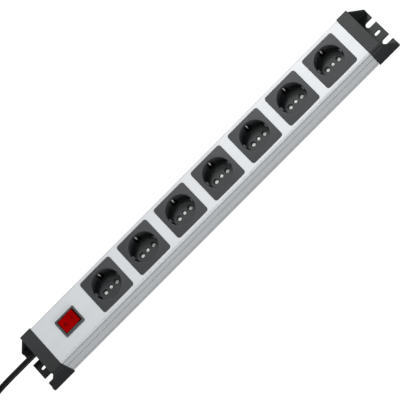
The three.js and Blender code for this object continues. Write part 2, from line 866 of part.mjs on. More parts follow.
// Turned round X, with its flange outside the end wall, which is at x = 0.
function makeGland() {
  const bore = cord.diameter / 2 + gap;
  const insideEnd = cap.wall + 2;
  const profile = [
    [bore, -insideEnd],
    [gland.bodyRadius, -insideEnd],
    [gland.bodyRadius, gap],
    [gland.flangeRadius, gap],
    [gland.flangeRadius, gland.flangeThickness - gland.flangeChamfer],
    [gland.flangeRadius - gland.flangeChamfer, gland.flangeThickness],
    [bore, gland.flangeThickness],
    [bore, -insideEnd],
  ];
  const points = profile.map(([radius, along]) => new THREE.Vector2(radius, along));
  return toSolid(new THREE.LatheGeometry(points, 20).rotateZ(Math.PI / 2));
}

function makeClamp() {
  const half = clamp.length / 2;
  const low = cord.exitZ;
  const saddle = block([-clamp.width / 2, -half, low], [clamp.width / 2, half, low + clamp.height]);
  const groove = rod(cord.diameter / 2 + gap, clamp.width + 2, [0, 0, cord.exitZ], 'x', 12);
  const bores = [-1, 1].map((side) => {
    const place = [0, side * clamp.screwOffset, low];
    return rod(screw.shankRadius + gap, 4 * clamp.height, place, 'z', 8);
  });
  return cut(saddle, groove, ...bores);
}

function makeClampScrew() {
  const seat = cord.exitZ + clamp.height + gap;
  const headTop = seat + screw.headHeight;
  const head = rod(clamp.screwHeadRadius, screw.headHeight, [0, 0, seat + screw.headHeight / 2], 'z', 12);
  const shank = rod(screw.shankRadius, clamp.screwLength, [0, 0, seat + 0.2 - clamp.screwLength / 2], 'z', 8);
  const slot = block(
    [-clamp.screwHeadRadius - 1, -screw.crossWidth / 2, headTop - screw.crossDepth],
    [clamp.screwHeadRadius + 1, screw.crossWidth / 2, headTop + 1],
  );
  return cut(join(head, shank), slot);
}

// The free stretch from inside the cap to the coil.
const leadOut = [
  [-265, 15.5, 17],
  [-277, 15.5, 17],
  [-289, 15.5, 17],
  [-303, 15.5, 17],
  [-317, 15.5, 17],
  [-331, 15.5, 17],
  [-345, 15.4, 16.8],
  [-357, 15.4, 15.5],
  [-366, 15.3, 13.2],
  [-375.5, 14.2, 10.2],
  [-383.9, 10.8, 7.3],
];

// The free stretch from the coil to the plug.
const leadIn = [
  [-490.3, -5.8, 18.5],
  [-497.3, -3.8, 18.9],
  [-504.6, -3, 19],
  [-511.6, -3, 19],
];

function leadTube(points) {
  return bentRod(points, cord.diameter / 2, cord.sides, 2 * points.length - 2);
}

function coilInner() {
  return coil.innerTurn - cord.diameter / 2 - gap;
}

function coilOuter() {
  return coil.innerTurn + (coil.turnsAcross - 1) * turnStep + cord.diameter / 2 + gap;
}

function makeCoil() {
  const low = cordTie.thickness + gap;
  const high = low + coil.layers * turnStep;
  const profile = [
    [coilInner(), low],
    [coilOuter(), low],
    [coilOuter(), high],
    [coilInner(), high],
    [coilInner(), low],
  ];
  const points = profile.map(([radius, z]) => new THREE.Vector2(radius, z));
  return toSolid(new THREE.LatheGeometry(points, 40).rotateX(Math.PI / 2));
}

// A band round the coil's section, drawn where the coil crosses +X of its own centre.
function makeTie() {
  const low = 0;
  const high = 2 * (cordTie.thickness + gap) + coil.layers * turnStep;
  const near = coilInner() - gap - cordTie.thickness;
  const far = coilOuter() + gap + cordTie.thickness;
  const half = cordTie.width / 2;
  const thick = cordTie.thickness;
  const outer = block([near - 1, -half, low], [far, half, high]);
  const inner = block([near - 1 + thick, -half - 1, low + thick], [far - thick, half + 1, high - thick]);
  return cut(outer, inner);
}

function makePlugBody() {
  const total = plug.reliefLength + plug.length;
  const profile = [
    [0, 0],
    [plug.reliefTip, 0],
    [plug.reliefTip + plug.neck, plug.reliefLength - plug.shoulder],
    [plug.reliefTip + plug.collar, plug.reliefLength],
    [plug.radius - 2 * plug.edge, plug.reliefLength + plug.shoulder],
    [plug.radius, plug.reliefLength + plug.shoulder + 3 * plug.edge],
    [plug.radius, total - plug.edge],
    [plug.radius - plug.edge, total],
    [0, total],
  ];
  const points = profile.map(([radius, along]) => new THREE.Vector2(radius, along));
  let solid = toSolid(new THREE.LatheGeometry(points, 24).rotateZ(Math.PI / 2));
  for (const side of [-1, 1]) {
    const y = (side * socket.pinSpacing) / 2;
    const pinBore = rod(plug.pinRadius + gap, 2 * plug.pinSeat, [-total, y, 0], 'x', 12);
    const deep = side * (plug.radius - plug.clipRecess);
    const out = side * (plug.radius + plug.clipRecess);
    const recess = block(
      [-total - 1, -plug.clipWidth / 2 - gap, Math.min(deep, out)],
      [-total + plug.clipLength + gap, plug.clipWidth / 2 + gap, Math.max(deep, out)],
    );
    solid = cut(solid, pinBore, recess);
  }
  const cordBore = rod(cord.diameter / 2 + gap, 2 * plug.shoulder, [0, 0, 0], 'x', 12);
  return cut(solid, cordBore);
}

// A pin drawn towards -X from its seat, narrowed at its end.
function makePlugPin() {
  const shankLength = plug.pinLength + plug.pinSeat - plug.pinRoom;
  const shank = rod(plug.pinRadius, shankLength, [-shankLength / 2, 0, 0], 'x', 12);
  const tipMiddle = [-shankLength - plug.pinTip / 2, 0, 0];
  const tip = rod(plug.pinTipRadius, plug.pinTip, tipMiddle, 'x', 12, plug.pinRadius);
  return join(shank, tip);
}

function makePlugClip() {
  const low = plug.radius - plug.clipRecess + gap;
  const high = low + plug.clipThickness;
  return block([0, -plug.clipWidth / 2, low], [plug.clipLength - gap, plug.clipWidth / 2, high]);
}

// ---------------------------------------------------------------------------------------------
// Assembly
// ---------------------------------------------------------------------------------------------

const strip = new THREE.Group();

function add(name, solid, material, place = [0, 0, 0], turn = [0, 0, 0]) {
  const geometry = solid.isBufferGeometry ? solid : toGeometry(solid);
  const mesh = new THREE.Mesh(geometry, material);
  mesh.name = name;
  mesh.position.set(...place);
  mesh.rotation.set(...turn);
  strip.add(mesh);
  return mesh;
}

add('housing_profile', makeHousing(), aluminium);
add('base_plate', makeBasePlate(), steelPlate);
add('end_cap_plain', makeCap(), capPlastic);
add('end_cap_cord', makeCordCap(), capPlastic);

const headSeat = capEnd - gap;
[[1, 1], [1, -1], [-1, 1], [-1, -1]].forEach(([end, side], index) => {
  const place = [end * headSeat, side * screwChannelY, screwChannelZ];
  add(`cap_screw_${index + 1}`, makeCapScrew(), screwSteel, place, [0, 0, end > 0 ? 0 : Math.PI]);
});

socketXs.forEach((x, index) => {
  add(`socket_insert_${index + 1}`, makeInsert(), socketPlastic, [x, 0, 0]);
  add(`shutter_${index + 1}`, makeShutter(), shutterPlastic, [x, 0, 0]);
});

add('busbar_live', makeBusbar(1), brass);
add('busbar_neutral', makeBusbar(-1), brass);
add('busbar_earth', makeEarthBar(), nickel);
add('contact_tray', makeTray(), carrierPlastic);

const tilt = THREE.MathUtils.degToRad(rocker.tilt);
add('switch_frame', makeSwitchFrame(), bezelPlastic, [switchX, 0, 0]);
add('switch_rocker', makeRocker(), rockerPlastic, [switchX, 0, rockerAxisZ], [0, -tilt, 0]);
add('switch_lamp', makeLamp(), lampGlass, [switchX + 5, 0, seesawAxisZ + 3]);
[1, -1].forEach((side, index) => {
  const y = side * seesaw.offset;
  add(`switch_plunger_${index + 1}`, makePlunger(), nickel, [switchX, y, rockerAxisZ], [0, -tilt, 0]);
  add(`switch_seesaw_${index + 1}`, makeSeesaw(), brass, [switchX, y, seesawAxisZ], [0, tilt, 0]);
  add(`terminal_pivot_${index + 1}`, makeTerminal('pivot'), brass, [switchX, y, 0]);
  add(`terminal_fixed_${index + 1}`, makeTerminal('fixed'), brass, [switchX - terminal.sideOffset, y, 0]);
});

add('cord_gland', makeGland(), bezelPlastic, [-capEnd, cord.exitY, cord.exitZ]);
add('cord_clamp', makeClamp(), carrierPlastic, [-clampX(), cord.exitY, 0]);
[1, -1].forEach((side, index) => {
  const place = [-clampX(), cord.exitY + side * clamp.screwOffset, 0];
  add(`clamp_screw_${index + 1}`, makeClampScrew(), screwSteel, place);
});

const bladeEnd = housingTop - switchFrame.bodyDepth - terminal.drop - gap - wireRadius;
const onBar = busbarLevel + busbar.thickness + gap + wireRadius;
const onEarth = earthLevel + busbar.thickness + gap + wireRadius;
const cordStart = -capEnd + cord.insideLength + gap + wireRadius;
const wires = [
  ['wire_live_in', wireBrown, [
    [cordStart, cord.exitY + 1.7, cord.exitZ + 0.9],
    [cordStart + 10, 15, bladeEnd + 1],
    [switchX - terminal.sideOffset - 7, 8, bladeEnd],
    [switchX - terminal.sideOffset + 1, seesaw.offset, bladeEnd],
  ]],
  ['wire_neutral_in', wireBlue, [
    [cordStart, cord.exitY - 1.7, cord.exitZ + 0.9],
    [cordStart + 9, 6, bladeEnd + 1],
    [switchX - terminal.sideOffset - 7, -4, bladeEnd],
    [switchX - terminal.sideOffset + 1, -seesaw.offset, bladeEnd],
  ]],
  ['wire_earth', wireGreen, [
    [cordStart, cord.exitY, cord.exitZ - 2.1],
    [cordStart + 10, 12, onEarth + 1],
    [switchX, 2, onEarth],
    [barStart + 6, 0, onEarth],
  ]],
  ['wire_live_out', wireBrown, [
    [switchX - 1, seesaw.offset, bladeEnd],
    [switchX + 8, seesaw.offset + 1.5, bladeEnd],
    [barStart - 2, busbar.offset, onBar],
    [barStart + 6, busbar.offset, onBar],
  ]],
  ['wire_neutral_out', wireBlue, [
    [switchX - 1, -seesaw.offset, bladeEnd],
    [switchX + 8, -seesaw.offset - 1.5, bladeEnd],
    [barStart - 2, -busbar.offset, onBar],
    [barStart + 6, -busbar.offset, onBar],
  ]],
];
wires.forEach(([name, material, points]) => add(name, bentRod(points, wireRadius, 6, 8), material));

add('mains_cord_out', leadTube(leadOut), cordSheath);
add('mains_cord_coil', makeCoil(), cordSheath, [...coil.centre, 0]);
add('mains_cord_in', leadTube(leadIn), cordSheath);
add('cord_tie', makeTie(), tieFabric, [...coil.centre, 0], [0, 0, THREE.MathUtils.degToRad(cordTie.angle)]);

const plugFaceX = plug.reliefStart[0] - plug.reliefLength - plug.length;
add('plug_body', makePlugBody(), cordSheath, [...plug.reliefStart, plug.level]);
[1, -1].forEach((side, index) => {
  const y = plug.reliefStart[1] + (side * socket.pinSpacing) / 2;
  add(`plug_pin_${index + 1}`, makePlugPin(), nickel, [plugFaceX + plug.pinSeat - 2 * gap, y, plug.level]);
  const turn = [side > 0 ? 0 : Math.PI, 0, 0];
  const place = [plugFaceX, plug.reliefStart[1], plug.level];
  add(`plug_earth_contact_${index + 1}`, makePlugClip(), nickel, place, turn);
});

export default strip;
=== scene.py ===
"""Seven-way socket strip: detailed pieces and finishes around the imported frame.

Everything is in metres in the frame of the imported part: X runs along the strip with the switch and
the lead at -X, Z points up, and the strip stands on z = 0. Sizes in the classes are millimetres.
"""

import json
import logging
import math
from collections.abc import Callable
from dataclasses import dataclass
from enum import Enum

import bmesh
import bpy
from mathutils import Matrix, Vector

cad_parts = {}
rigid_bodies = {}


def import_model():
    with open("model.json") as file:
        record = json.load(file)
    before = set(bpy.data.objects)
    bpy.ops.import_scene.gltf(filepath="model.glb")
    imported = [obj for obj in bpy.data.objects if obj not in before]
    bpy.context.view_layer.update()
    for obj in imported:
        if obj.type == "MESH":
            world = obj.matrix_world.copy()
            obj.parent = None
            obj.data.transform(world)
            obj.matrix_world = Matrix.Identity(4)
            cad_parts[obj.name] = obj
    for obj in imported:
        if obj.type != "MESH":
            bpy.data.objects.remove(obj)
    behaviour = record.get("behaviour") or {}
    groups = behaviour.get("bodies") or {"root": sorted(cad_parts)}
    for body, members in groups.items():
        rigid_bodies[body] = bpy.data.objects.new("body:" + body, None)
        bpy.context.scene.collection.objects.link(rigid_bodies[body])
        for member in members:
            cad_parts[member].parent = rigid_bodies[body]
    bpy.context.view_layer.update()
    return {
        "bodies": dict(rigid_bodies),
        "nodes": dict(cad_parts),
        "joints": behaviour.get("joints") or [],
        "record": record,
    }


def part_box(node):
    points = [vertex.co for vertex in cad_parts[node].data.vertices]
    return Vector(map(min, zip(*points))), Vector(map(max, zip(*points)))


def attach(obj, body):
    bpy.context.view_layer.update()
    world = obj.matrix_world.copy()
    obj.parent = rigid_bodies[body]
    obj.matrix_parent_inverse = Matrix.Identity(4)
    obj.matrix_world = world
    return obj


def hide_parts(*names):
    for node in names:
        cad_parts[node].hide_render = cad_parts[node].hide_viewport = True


LOG = logging.getLogger("socket_strip")
MM = 0.001
ORIGIN = (0.0, 0.0, 0.0)
Triple = tuple[float, float, float]
Pair = tuple[float, float]
NodeValue = bpy.types.NodeSocket
Chooser = Callable[[bmesh.types.BMEdge], bool]


class Axis(Enum):
    """The direction that an outline is run along, or that a shape is turned about."""

    ALONG = 0
    ACROSS = 1
    UP = 2

    def vector(self) -> Vector:
        """Returns the unit vector of the direction."""
        return Vector([1.0 if i == self.value else 0.0 for i in range(3)])


class Change(Enum):
    """What one closed body does to another."""

    JOIN = "UNION"
    CUT = "DIFFERENCE"


# ----- Finishes -----


class NodeBoard:
    """The nodes of one material, with short calls to add and join them."""

    def __init__(self, material: bpy.types.Material) -> None:
        """Empties the material's node tree and puts in a shader and an output.

        Args:
            material: The material whose nodes are written.
        """
        material.use_nodes = True
        self.tree = material.node_tree
        self.tree.nodes.clear()
        self.shader = self.add("ShaderNodeBsdfPrincipled")
        output = self.add("ShaderNodeOutputMaterial")
        self.join(self.shader.outputs["BSDF"], output.inputs["Surface"])
        self.places = self.add("ShaderNodeTexCoord").outputs

    def add(self, kind: str, **values: object) -> bpy.types.Node:
        """Adds a node and sets its properties.

        Args:
            kind: Blender's name of the node type.
            **values: Properties of the node by name.

        Returns:
            The new node.
        """
        node = self.tree.nodes.new(kind)
        for name, value in values.items():
            setattr(node, name, value)
        return node

    def join(self, source: NodeValue, target: NodeValue) -> None:
        """Joins an output to an input."""
        self.tree.links.new(source, target)

    def stretched(self, per_metre: Triple) -> NodeValue:
        """Returns the object's coordinates, scaled on each axis."""
        mapping = self.add("ShaderNodeMapping")
        mapping.inputs["Scale"].default_value = per_metre
        self.join(self.places["Object"], mapping.inputs["Vector"])
        return mapping.outputs["Vector"]

    def parts(self, kind: str) -> bpy.types.bpy_prop_collection:
        """Returns the X, Y and Z of one kind of texture coordinate."""
        split = self.add("ShaderNodeSeparateXYZ")
        self.join(self.places[kind], split.inputs["Vector"])
        return split.outputs

    def maths(self, operation: str, *values: NodeValue) -> NodeValue:
        """Works one sum on the values and returns the outcome."""
        node = self.add("ShaderNodeMath", operation=operation)
        for value, target in zip(values, node.inputs):
            self.join(value, target)
        return node.outputs["Value"]

    def noise(self, per_metre: Triple, detail: float) -> NodeValue:
        """Adds a noise over the object's own coordinates.

        Args:
            per_metre: How many grains there are in a metre, on each axis.
            detail: How many finer layers the noise holds.

        Returns:
            The noise's value, from 0 to 1.
        """
        noise = self.add("ShaderNodeTexNoise")
        noise.inputs["Scale"].default_value = 1.0
        noise.inputs["Detail"].default_value = detail
        self.join(self.stretched(per_metre), noise.inputs["Vector"])
        return noise.outputs["Fac"]

    def ranged(self, value: NodeValue, source: Pair, target: Pair) -> NodeValue:
        """Maps a value from one range to another and clamps it.

        Args:
            value: The value to map.
            source: The range that it has.
            target: The range that it gets.

        Returns:
            The mapped value.
        """
        node = self.add("ShaderNodeMapRange")
        self.join(value, node.inputs["Value"])
        node.inputs["From Min"].default_value, node.inputs["From Max"].default_value = source
        node.inputs["To Min"].default_value, node.inputs["To Max"].default_value = target
        return node.outputs["Result"]

    def blended(
        self, share: NodeValue, first: NodeValue | Triple, second: NodeValue | Triple
    ) -> NodeValue:
        """Blends two colours, fixed or made by nodes.

        Args:
            share: The share of the second colour, from 0 to 1.
            first: The first colour.
            second: The second colour.

        Returns:
            The blended colour.
        """
        node = self.add("ShaderNodeMix", data_type="RGBA")
        self.join(share, node.inputs["Factor"])
        for name, colour in (("A", first), ("B", second)):
            if isinstance(colour, tuple):
                node.inputs[name].default_value = (*colour, 1.0)
            else:
                self.join(colour, node.inputs[name])
        return node.outputs["Result"]

    def raised(self, height: NodeValue, depth_mm: float) -> None:
        """Turns a height from 0 to 1 into bumps of a depth in millimetres on the shader."""
        bump = self.add("ShaderNodeBump")
        bump.inputs["Distance"].default_value = depth_mm * MM
        self.join(height, bump.inputs["Height"])
        self.join(bump.outputs["Normal"], self.shader.inputs["Normal"])

    def set(self, **values: object) -> None:
        """Sets inputs of the shader, named with underscores for spaces."""
        for name, value in values.items():
            self.shader.inputs[name.replace("_", " ")].default_value = value


@dataclass(frozen=True)
class Finish:
    """A surface with a slow drift of tone and a fine grain.

    The grain moves the roughness by `spread` and stands up by `relief` millimetres. `broad` and
    `grain` say how many patches or grains a metre holds on each axis.
    """

    name: str
    colour: Triple
    toned: Triple
    roughness: float
    spread: float = 0.06
    metallic: float = 0.0
    specular: float = 0.5
    broad: Triple = (22.0, 22.0, 22.0)
    grain: Triple = (1400.0, 1400.0, 1400.0)
    relief: float = 0.02

    def material(self) -> bpy.types.Material:
        """Makes the material, or finds it if it was made before.

        Returns:
            The finished material.
        """
        label = f"{self.name}_finish"
        made = bpy.data.materials.get(label)
        if made is None:
            made = bpy.data.materials.new(label)
            board = NodeBoard(made)
            drift = board.ranged(board.noise(self.broad, 3.0), (0.35, 0.65), (0.0, 1.0))
            board.join(self.tone(board, drift), board.shader.inputs["Base Color"])
            grain = board.noise(self.grain, 2.0)
            rough = (self.roughness - self.spread, self.roughness + self.spread)
            board.join(board.ranged(grain, (0.3, 0.7), rough), board.shader.inputs["Roughness"])
            board.raised(self.relief_height(board, grain), self.relief)
            board.set(Metallic=self.metallic, Specular_IOR_Level=self.specular)
            self.extra(board)
        return made

    def tone(self, board: NodeBoard, drift: NodeValue) -> NodeValue:
        """Returns the surface's colour from the slow drift."""
        return board.blended(drift, self.colour, self.toned)

    def relief_height(self, board: NodeBoard, grain: NodeValue) -> NodeValue:
        """Returns the height that the bumps follow."""
        return grain

    def extra(self, board: NodeBoard) -> None:
        """Leaves the shader as it is; a finish with more to set does so here."""


@dataclass(frozen=True)
class LensFinish(Finish):
    """A coloured moulding with painted shade on its upright flanks, that glows faintly from within.
    """

    glow: Triple = (0.5, 0.0, 0.0)
    glow_strength: float = 0.03
    # flank is painted shade: the colour that upright and downward faces get in place of the red.
    flank: Triple = (0.012, 0.001, 0.001)
    flank_shade_to_face: Pair = (0.3, 0.75)

    def tone(self, board: NodeBoard, drift: NodeValue) -> NodeValue:
        """Returns the colour, with painted shade on the upright flanks."""
        # Painted shade: faces whose normal Z is under 0.3 take the flank colour, blending into the
        # red by 0.75.
        facing_up = board.ranged(board.parts("Normal")["Z"], self.flank_shade_to_face, (0.0, 1.0))
        return board.blended(facing_up, self.flank, super().tone(board, drift))

    def extra(self, board: NodeBoard) -> None:
        """Adds the light that comes through."""
        board.set(Emission_Color=(*self.glow, 1.0), Emission_Strength=self.glow_strength)


@dataclass(frozen=True)
class GroovedFinish(Finish):
    """A drawn metal with painted shade at the bottom of its side grooves."""

    # bottom is the painted shade colour. It covers faces nearer the middle than 30.7 mm and lower
    # than 43.2 mm, and fades out by 31.3 mm and 43.8 mm: the groove bottoms and the inside of the
    # channel.
    bottom: Triple = (0.30, 0.315, 0.325)
    shade_depth_from: Pair = (0.0307, 0.0313)
    shade_height_to: Pair = (0.0432, 0.0438)

    def tone(self, board: NodeBoard, drift: NodeValue) -> NodeValue:
        """Returns the colour, with painted shade at the bottom of the grooves."""
        parts = board.parts("Object")
        # Painted shade mask: set in from the outer side wall and below the top corner.
        deep = board.ranged(board.maths("ABSOLUTE", parts["Y"]), self.shade_depth_from, (1.0, 0.0))
        low = board.ranged(parts["Z"], self.shade_height_to, (1.0, 0.0))
        share = board.maths("MULTIPLY", deep, low)
        return board.blended(share, super().tone(board, drift), self.bottom)


@dataclass(frozen=True)
class GlassFinish(Finish):
    """Thin clear glass."""

    clearness: float = 0.7

    def extra(self, board: NodeBoard) -> None:
        """Lets light through."""
        board.set(Transmission_Weight=self.clearness, IOR=1.5)


@dataclass(frozen=True)
class WovenFinish(Finish):
    """Woven tape, whose threads cross at right angles."""

    threads: float = 1300.0

    def relief_height(self, board: NodeBoard, grain: NodeValue) -> NodeValue:
        """Returns the height of crossing threads."""
        heights = []
        for direction in ("X", "Z"):
            wave = board.add("ShaderNodeTexWave", bands_direction=direction)
            wave.inputs["Scale"].default_value = 1.0
            wave.inputs["Distortion"].default_value = 0.6
            board.join(board.stretched((self.threads,) * 3), wave.inputs["Vector"])
            heights.append(wave.outputs["Fac"])
        return board.maths("MAXIMUM", *heights)

    def extra(self, board: NodeBoard) -> None:
        """Adds the soft fibres' sheen."""
        board.set(Sheen_Weight=0.4, Sheen_Roughness=0.5)


class Finishes:
    """Every finish on the strip, by what it is on."""

    # The aluminium carries painted shade at the bottom of its grooves.
    profile = GroovedFinish(
        "satin_aluminium", (0.760, 0.785, 0.805), (0.73, 0.755, 0.775), 0.5, 0.03,
        metallic=0.2, specular=0.3, broad=(5.0, 60.0, 60.0), grain=(14.0, 1900.0, 1900.0),
        relief=0.003,
    )
    cap = Finish(
        "end_cap_plastic", (0.024, 0.026, 0.028), (0.019, 0.021, 0.022), 0.5, 0.06,
        specular=0.38, relief=0.03,
    )
    socket = Finish(
        "socket_plastic", (0.050, 0.054, 0.057), (0.042, 0.046, 0.049), 0.46, 0.06,
        specular=0.32, relief=0.02,
    )
    shutter = Finish(
        "shutter_plastic", (0.93, 0.93, 0.92), (0.89, 0.89, 0.87), 0.4, 0.06, relief=0.015,
    )
    carrier = Finish(
        "carrier_plastic", (0.45, 0.44, 0.40), (0.38, 0.37, 0.33), 0.55, 0.06, relief=0.02,
    )
    bezel = Finish(
        "switch_frame_plastic", (0.045, 0.048, 0.050), (0.033, 0.035, 0.037), 0.34, 0.05,
        relief=0.012,
    )
    # The rocker lens carries painted shade on its upright flanks.
    lens = LensFinish(
        "rocker_lens", (0.42, 0.0015, 0.0015), (0.36, 0.001, 0.001), 0.5, 0.05, specular=0.0,
        broad=(90.0, 90.0, 90.0), relief=0.01,
    )
    mark = Finish(
        "rocker_mark", (0.11, 0.001, 0.001), (0.08, 0.001, 0.001), 0.4, 0.04, specular=0.1,
        relief=0.005,
    )
    spring = Finish(
        "spring_steel", (0.36, 0.355, 0.34), (0.28, 0.275, 0.26), 0.42, 0.06, metallic=1.0,
        grain=(80.0, 1500.0, 1500.0), relief=0.008,
    )
    brass = Finish(
        "brass_strip", (0.62, 0.43, 0.16), (0.50, 0.33, 0.12), 0.32, 0.08, metallic=1.0,
        grain=(60.0, 1500.0, 1500.0), relief=0.01,
    )
    nickel = Finish(
        "nickel_plate", (0.60, 0.59, 0.56), (0.50, 0.49, 0.46), 0.34, 0.06, metallic=1.0,
        grain=(80.0, 1500.0, 1500.0), relief=0.008,
    )
    screw = Finish(
        "zinc_screw", (0.56, 0.57, 0.58), (0.42, 0.43, 0.45), 0.34, 0.1, metallic=1.0,
        broad=(260.0, 260.0, 260.0), relief=0.01,
    )
    steel = Finish(
        "base_steel", (0.36, 0.37, 0.38), (0.28, 0.29, 0.30), 0.42, 0.1, metallic=0.9,
        broad=(40.0, 40.0, 40.0), grain=(300.0, 1500.0, 1500.0), relief=0.01,
    )
    glass = GlassFinish("lamp_glass", (0.9, 0.55, 0.38), (0.85, 0.45, 0.28), 0.08, 0.02, relief=0.0)
    cord = Finish(
        "cord_sheath", (0.009, 0.010, 0.0105), (0.007, 0.0075, 0.008), 0.3, 0.04,
        specular=0.2, broad=(60.0, 60.0, 60.0), grain=(900.0, 900.0, 900.0), relief=0.01,
    )
    plug = Finish(
        "plug_rubber", (0.022, 0.023, 0.025), (0.016, 0.017, 0.018), 0.48, 0.07, relief=0.04,
    )
    wire_brown = Finish("wire_brown", (0.10, 0.035, 0.015), (0.08, 0.028, 0.012), 0.42)
    wire_blue = Finish("wire_blue", (0.02, 0.09, 0.38), (0.015, 0.07, 0.30), 0.42)
    wire_green = Finish("wire_green", (0.16, 0.33, 0.02), (0.12, 0.26, 0.015), 0.42)
    tie = WovenFinish("woven_tie", (0.014, 0.014, 0.016), (0.010, 0.010, 0.011), 0.8, relief=0.12)


# ----- Closed bodies -----


class Body:
    """A closed body under construction. Its sizes are given in millimetres."""

    def __init__(self) -> None:
        """Starts empty."""
        self.bm = bmesh.new()

    @classmethod
    def block(cls, low: Triple, high: Triple) -> "Body":
        """Makes a box.

        Args:
            low: One corner.
            high: The corner across from it.

        Returns:
            The box.
        """
        made = cls()
        middle = [(a + b) / 2 * MM for a, b in zip(low, high)]
        size = [abs(b - a) * MM for a, b in zip(low, high)]
        place = Matrix.Translation(middle) @ Matrix.Diagonal((*size, 1.0))
        bmesh.ops.create_cube(made.bm, size=1.0, matrix=place)
        return made

    @classmethod
    def plate(cls, size: Pair, low: float, high: float, radius: float, steps: int = 6) -> "Body":
        """Makes a plate with rounded upright edges, centred on the Z axis.

        Args:
            size: Its width along X and depth along Y.
            low: The height of its underside.
            high: The height of its top.
            radius: The radius of the upright edges.
            steps: The segments of each round.

        Returns:
            The plate.
        """
        made = cls.block((-size[0] / 2, -size[1] / 2, low), (size[0] / 2, size[1] / 2, high))
        made.soften(radius, steps, lambda edge: Body.runs(edge, Axis.UP))
        return made

    @classmethod
    def rod(
        cls, radius: float, start: Triple, length: float, axis: Axis = Axis.UP, sides: int = 48,
        far_radius: float | None = None,
    ) -> "Body":
        """Makes a round bar or a cone.

        Args:
            radius: Its radius at the start.
            start: The middle of the end that it starts from.
            length: Its length towards +axis.
            axis: The direction that it runs along.
            sides: The sides of the round.
            far_radius: Its radius at the far end, or None for the same.

        Returns:
            The bar.
        """
        made = cls()
        turn = Vector((0, 0, 1)).rotation_difference(axis.vector()).to_matrix().to_4x4()
        middle = (Vector(start) + axis.vector() * length / 2) * MM
        bmesh.ops.create_cone(
            made.bm, cap_ends=True, segments=sides, depth=length * MM, radius1=radius * MM,
            radius2=(radius if far_radius is None else far_radius) * MM,
            matrix=Matrix.Translation(middle) @ turn,
        )
        return made

    @classmethod
    def run(cls, outline: list[Pair], axis: Axis, low: float, high: float) -> "Body":
        """Runs a flat outline along an axis.

        Args:
            outline: Its corners, on the other two axes in their order X, Y, Z.
            axis: The axis that it runs along.
            low: Where it starts on that axis.
            high: Where it ends.

        Returns:
            The closed body.
        """
        made = cls()
        corners = []
        for first, second in outline:
            place = [first, second]
            place.insert(axis.value, low)
            corners.append(made.bm.verts.new(Vector(place) * MM))
        face = made.bm.faces.new(corners)
        grown = bmesh.ops.extrude_face_region(made.bm, geom=[face])["geom"]
        moved = [item for item in grown if isinstance(item, bmesh.types.BMVert)]
        bmesh.ops.translate(made.bm, verts=moved, vec=axis.vector() * (high - low) * MM)
        return made.righted()

    @classmethod
    def turned(cls, profile: list[Pair], place: Triple, axis: Axis, steps: int = 48) -> "Body":
        """Spins a profile into a turned body.

        Args:
            profile: Pairs of radius and distance along the axis, from one end to the other.
            place: Where the profile's zero is.
            axis: The axis that it turns about.
            steps: The steps of the full turn.

        Returns:
            The closed body.
        """
        made = cls()
        side = Axis.UP if axis is not Axis.UP else Axis.ALONG
        points = [
            (Vector(place) + side.vector() * radius + axis.vector() * along) * MM
            for radius, along in profile
        ]
        verts = [made.bm.verts.new(point) for point in points]
        edges = [made.bm.edges.new(pair) for pair in zip(verts, verts[1:])]
        bmesh.ops.spin(
            made.bm, geom=verts + edges, cent=Vector(place) * MM, axis=axis.vector(),
            dvec=ORIGIN, angle=2 * math.pi, steps=steps, use_merge=True,
        )
        return made.righted()

    @staticmethod
    def runs(edge: bmesh.types.BMEdge, axis: Axis) -> bool:
        """Tells whether an edge runs along an axis."""
        way = (edge.verts[1].co - edge.verts[0].co).normalized()
        return abs(way.dot(axis.vector())) > 0.999

    @staticmethod
    def above(level: float) -> Chooser:
        """Returns a test for edges that lie wholly above a height."""
        return lambda edge: all(vert.co.z > level * MM for vert in edge.verts)

    @staticmethod
    def is_sharp(edge: bmesh.types.BMEdge) -> bool:
        """Tells whether the faces at an edge meet at more than 32 degrees."""
        return len(edge.link_faces) == 2 and edge.calc_face_angle(0.0) > math.radians(32)

    def righted(self) -> "Body":
        """Merges doubles, turns every face outwards and returns the body."""
        bmesh.ops.remove_doubles(self.bm, verts=self.bm.verts[:], dist=1e-6)
        bmesh.ops.recalc_face_normals(self.bm, faces=self.bm.faces[:])
        return self

    def soften(self, width: float, segments: int, chosen: Chooser | None = None) -> "Body":
        """Rounds edges.

        Args:
            width: How far the round reaches on each face.
            segments: The segments of the round.
            chosen: Says whether an edge is rounded; sharp edges are if it is left out.

        Returns:
            The body itself.
        """
        pick = chosen or Body.is_sharp
        edges = [edge for edge in self.bm.edges if pick(edge)]
        if edges:
            bmesh.ops.bevel(
                self.bm, geom=edges, offset=width * MM, offset_type="OFFSET", segments=segments,
                profile=0.5, affect="EDGES", clamp_overlap=True, material=-1,
            )
        return self

    def sliced(self, axis: Axis, reach: float, step: float) -> "Body":
        """Adds edges all round the body, in planes across an axis.

        Args:
            axis: The axis that the planes stand across.
            reach: How far from the middle the planes go.
            step: The distance between them.

        Returns:
            The body itself.
        """
        count = int(reach / step)
        for index in range(-count, count + 1):
            bmesh.ops.bisect_plane(
                self.bm, geom=self.bm.verts[:] + self.bm.edges[:] + self.bm.faces[:], dist=1e-7,
                plane_co=axis.vector() * index * step * MM, plane_no=axis.vector(),
            )
        return self

    def moved(self, x: float = 0.0, y: float = 0.0, z: float = 0.0) -> "Body":
        """Moves the body by millimetres and returns it."""
        bmesh.ops.translate(self.bm, verts=self.bm.verts[:], vec=Vector((x, y, z)) * MM)
        return self

    def rotated(self, degrees: float, axis: Axis, centre: Triple = ORIGIN) -> "Body":
        """Turns the body.

        Args:
            degrees: The angle.
            axis: The axis that it turns about.
            centre: A point on that axis.

        Returns:
            The body itself.
        """
        turn = Matrix.Rotation(math.radians(degrees), 3, axis.vector())
        bmesh.ops.rotate(self.bm, verts=self.bm.verts[:], cent=Vector(centre) * MM, matrix=turn)
        return self

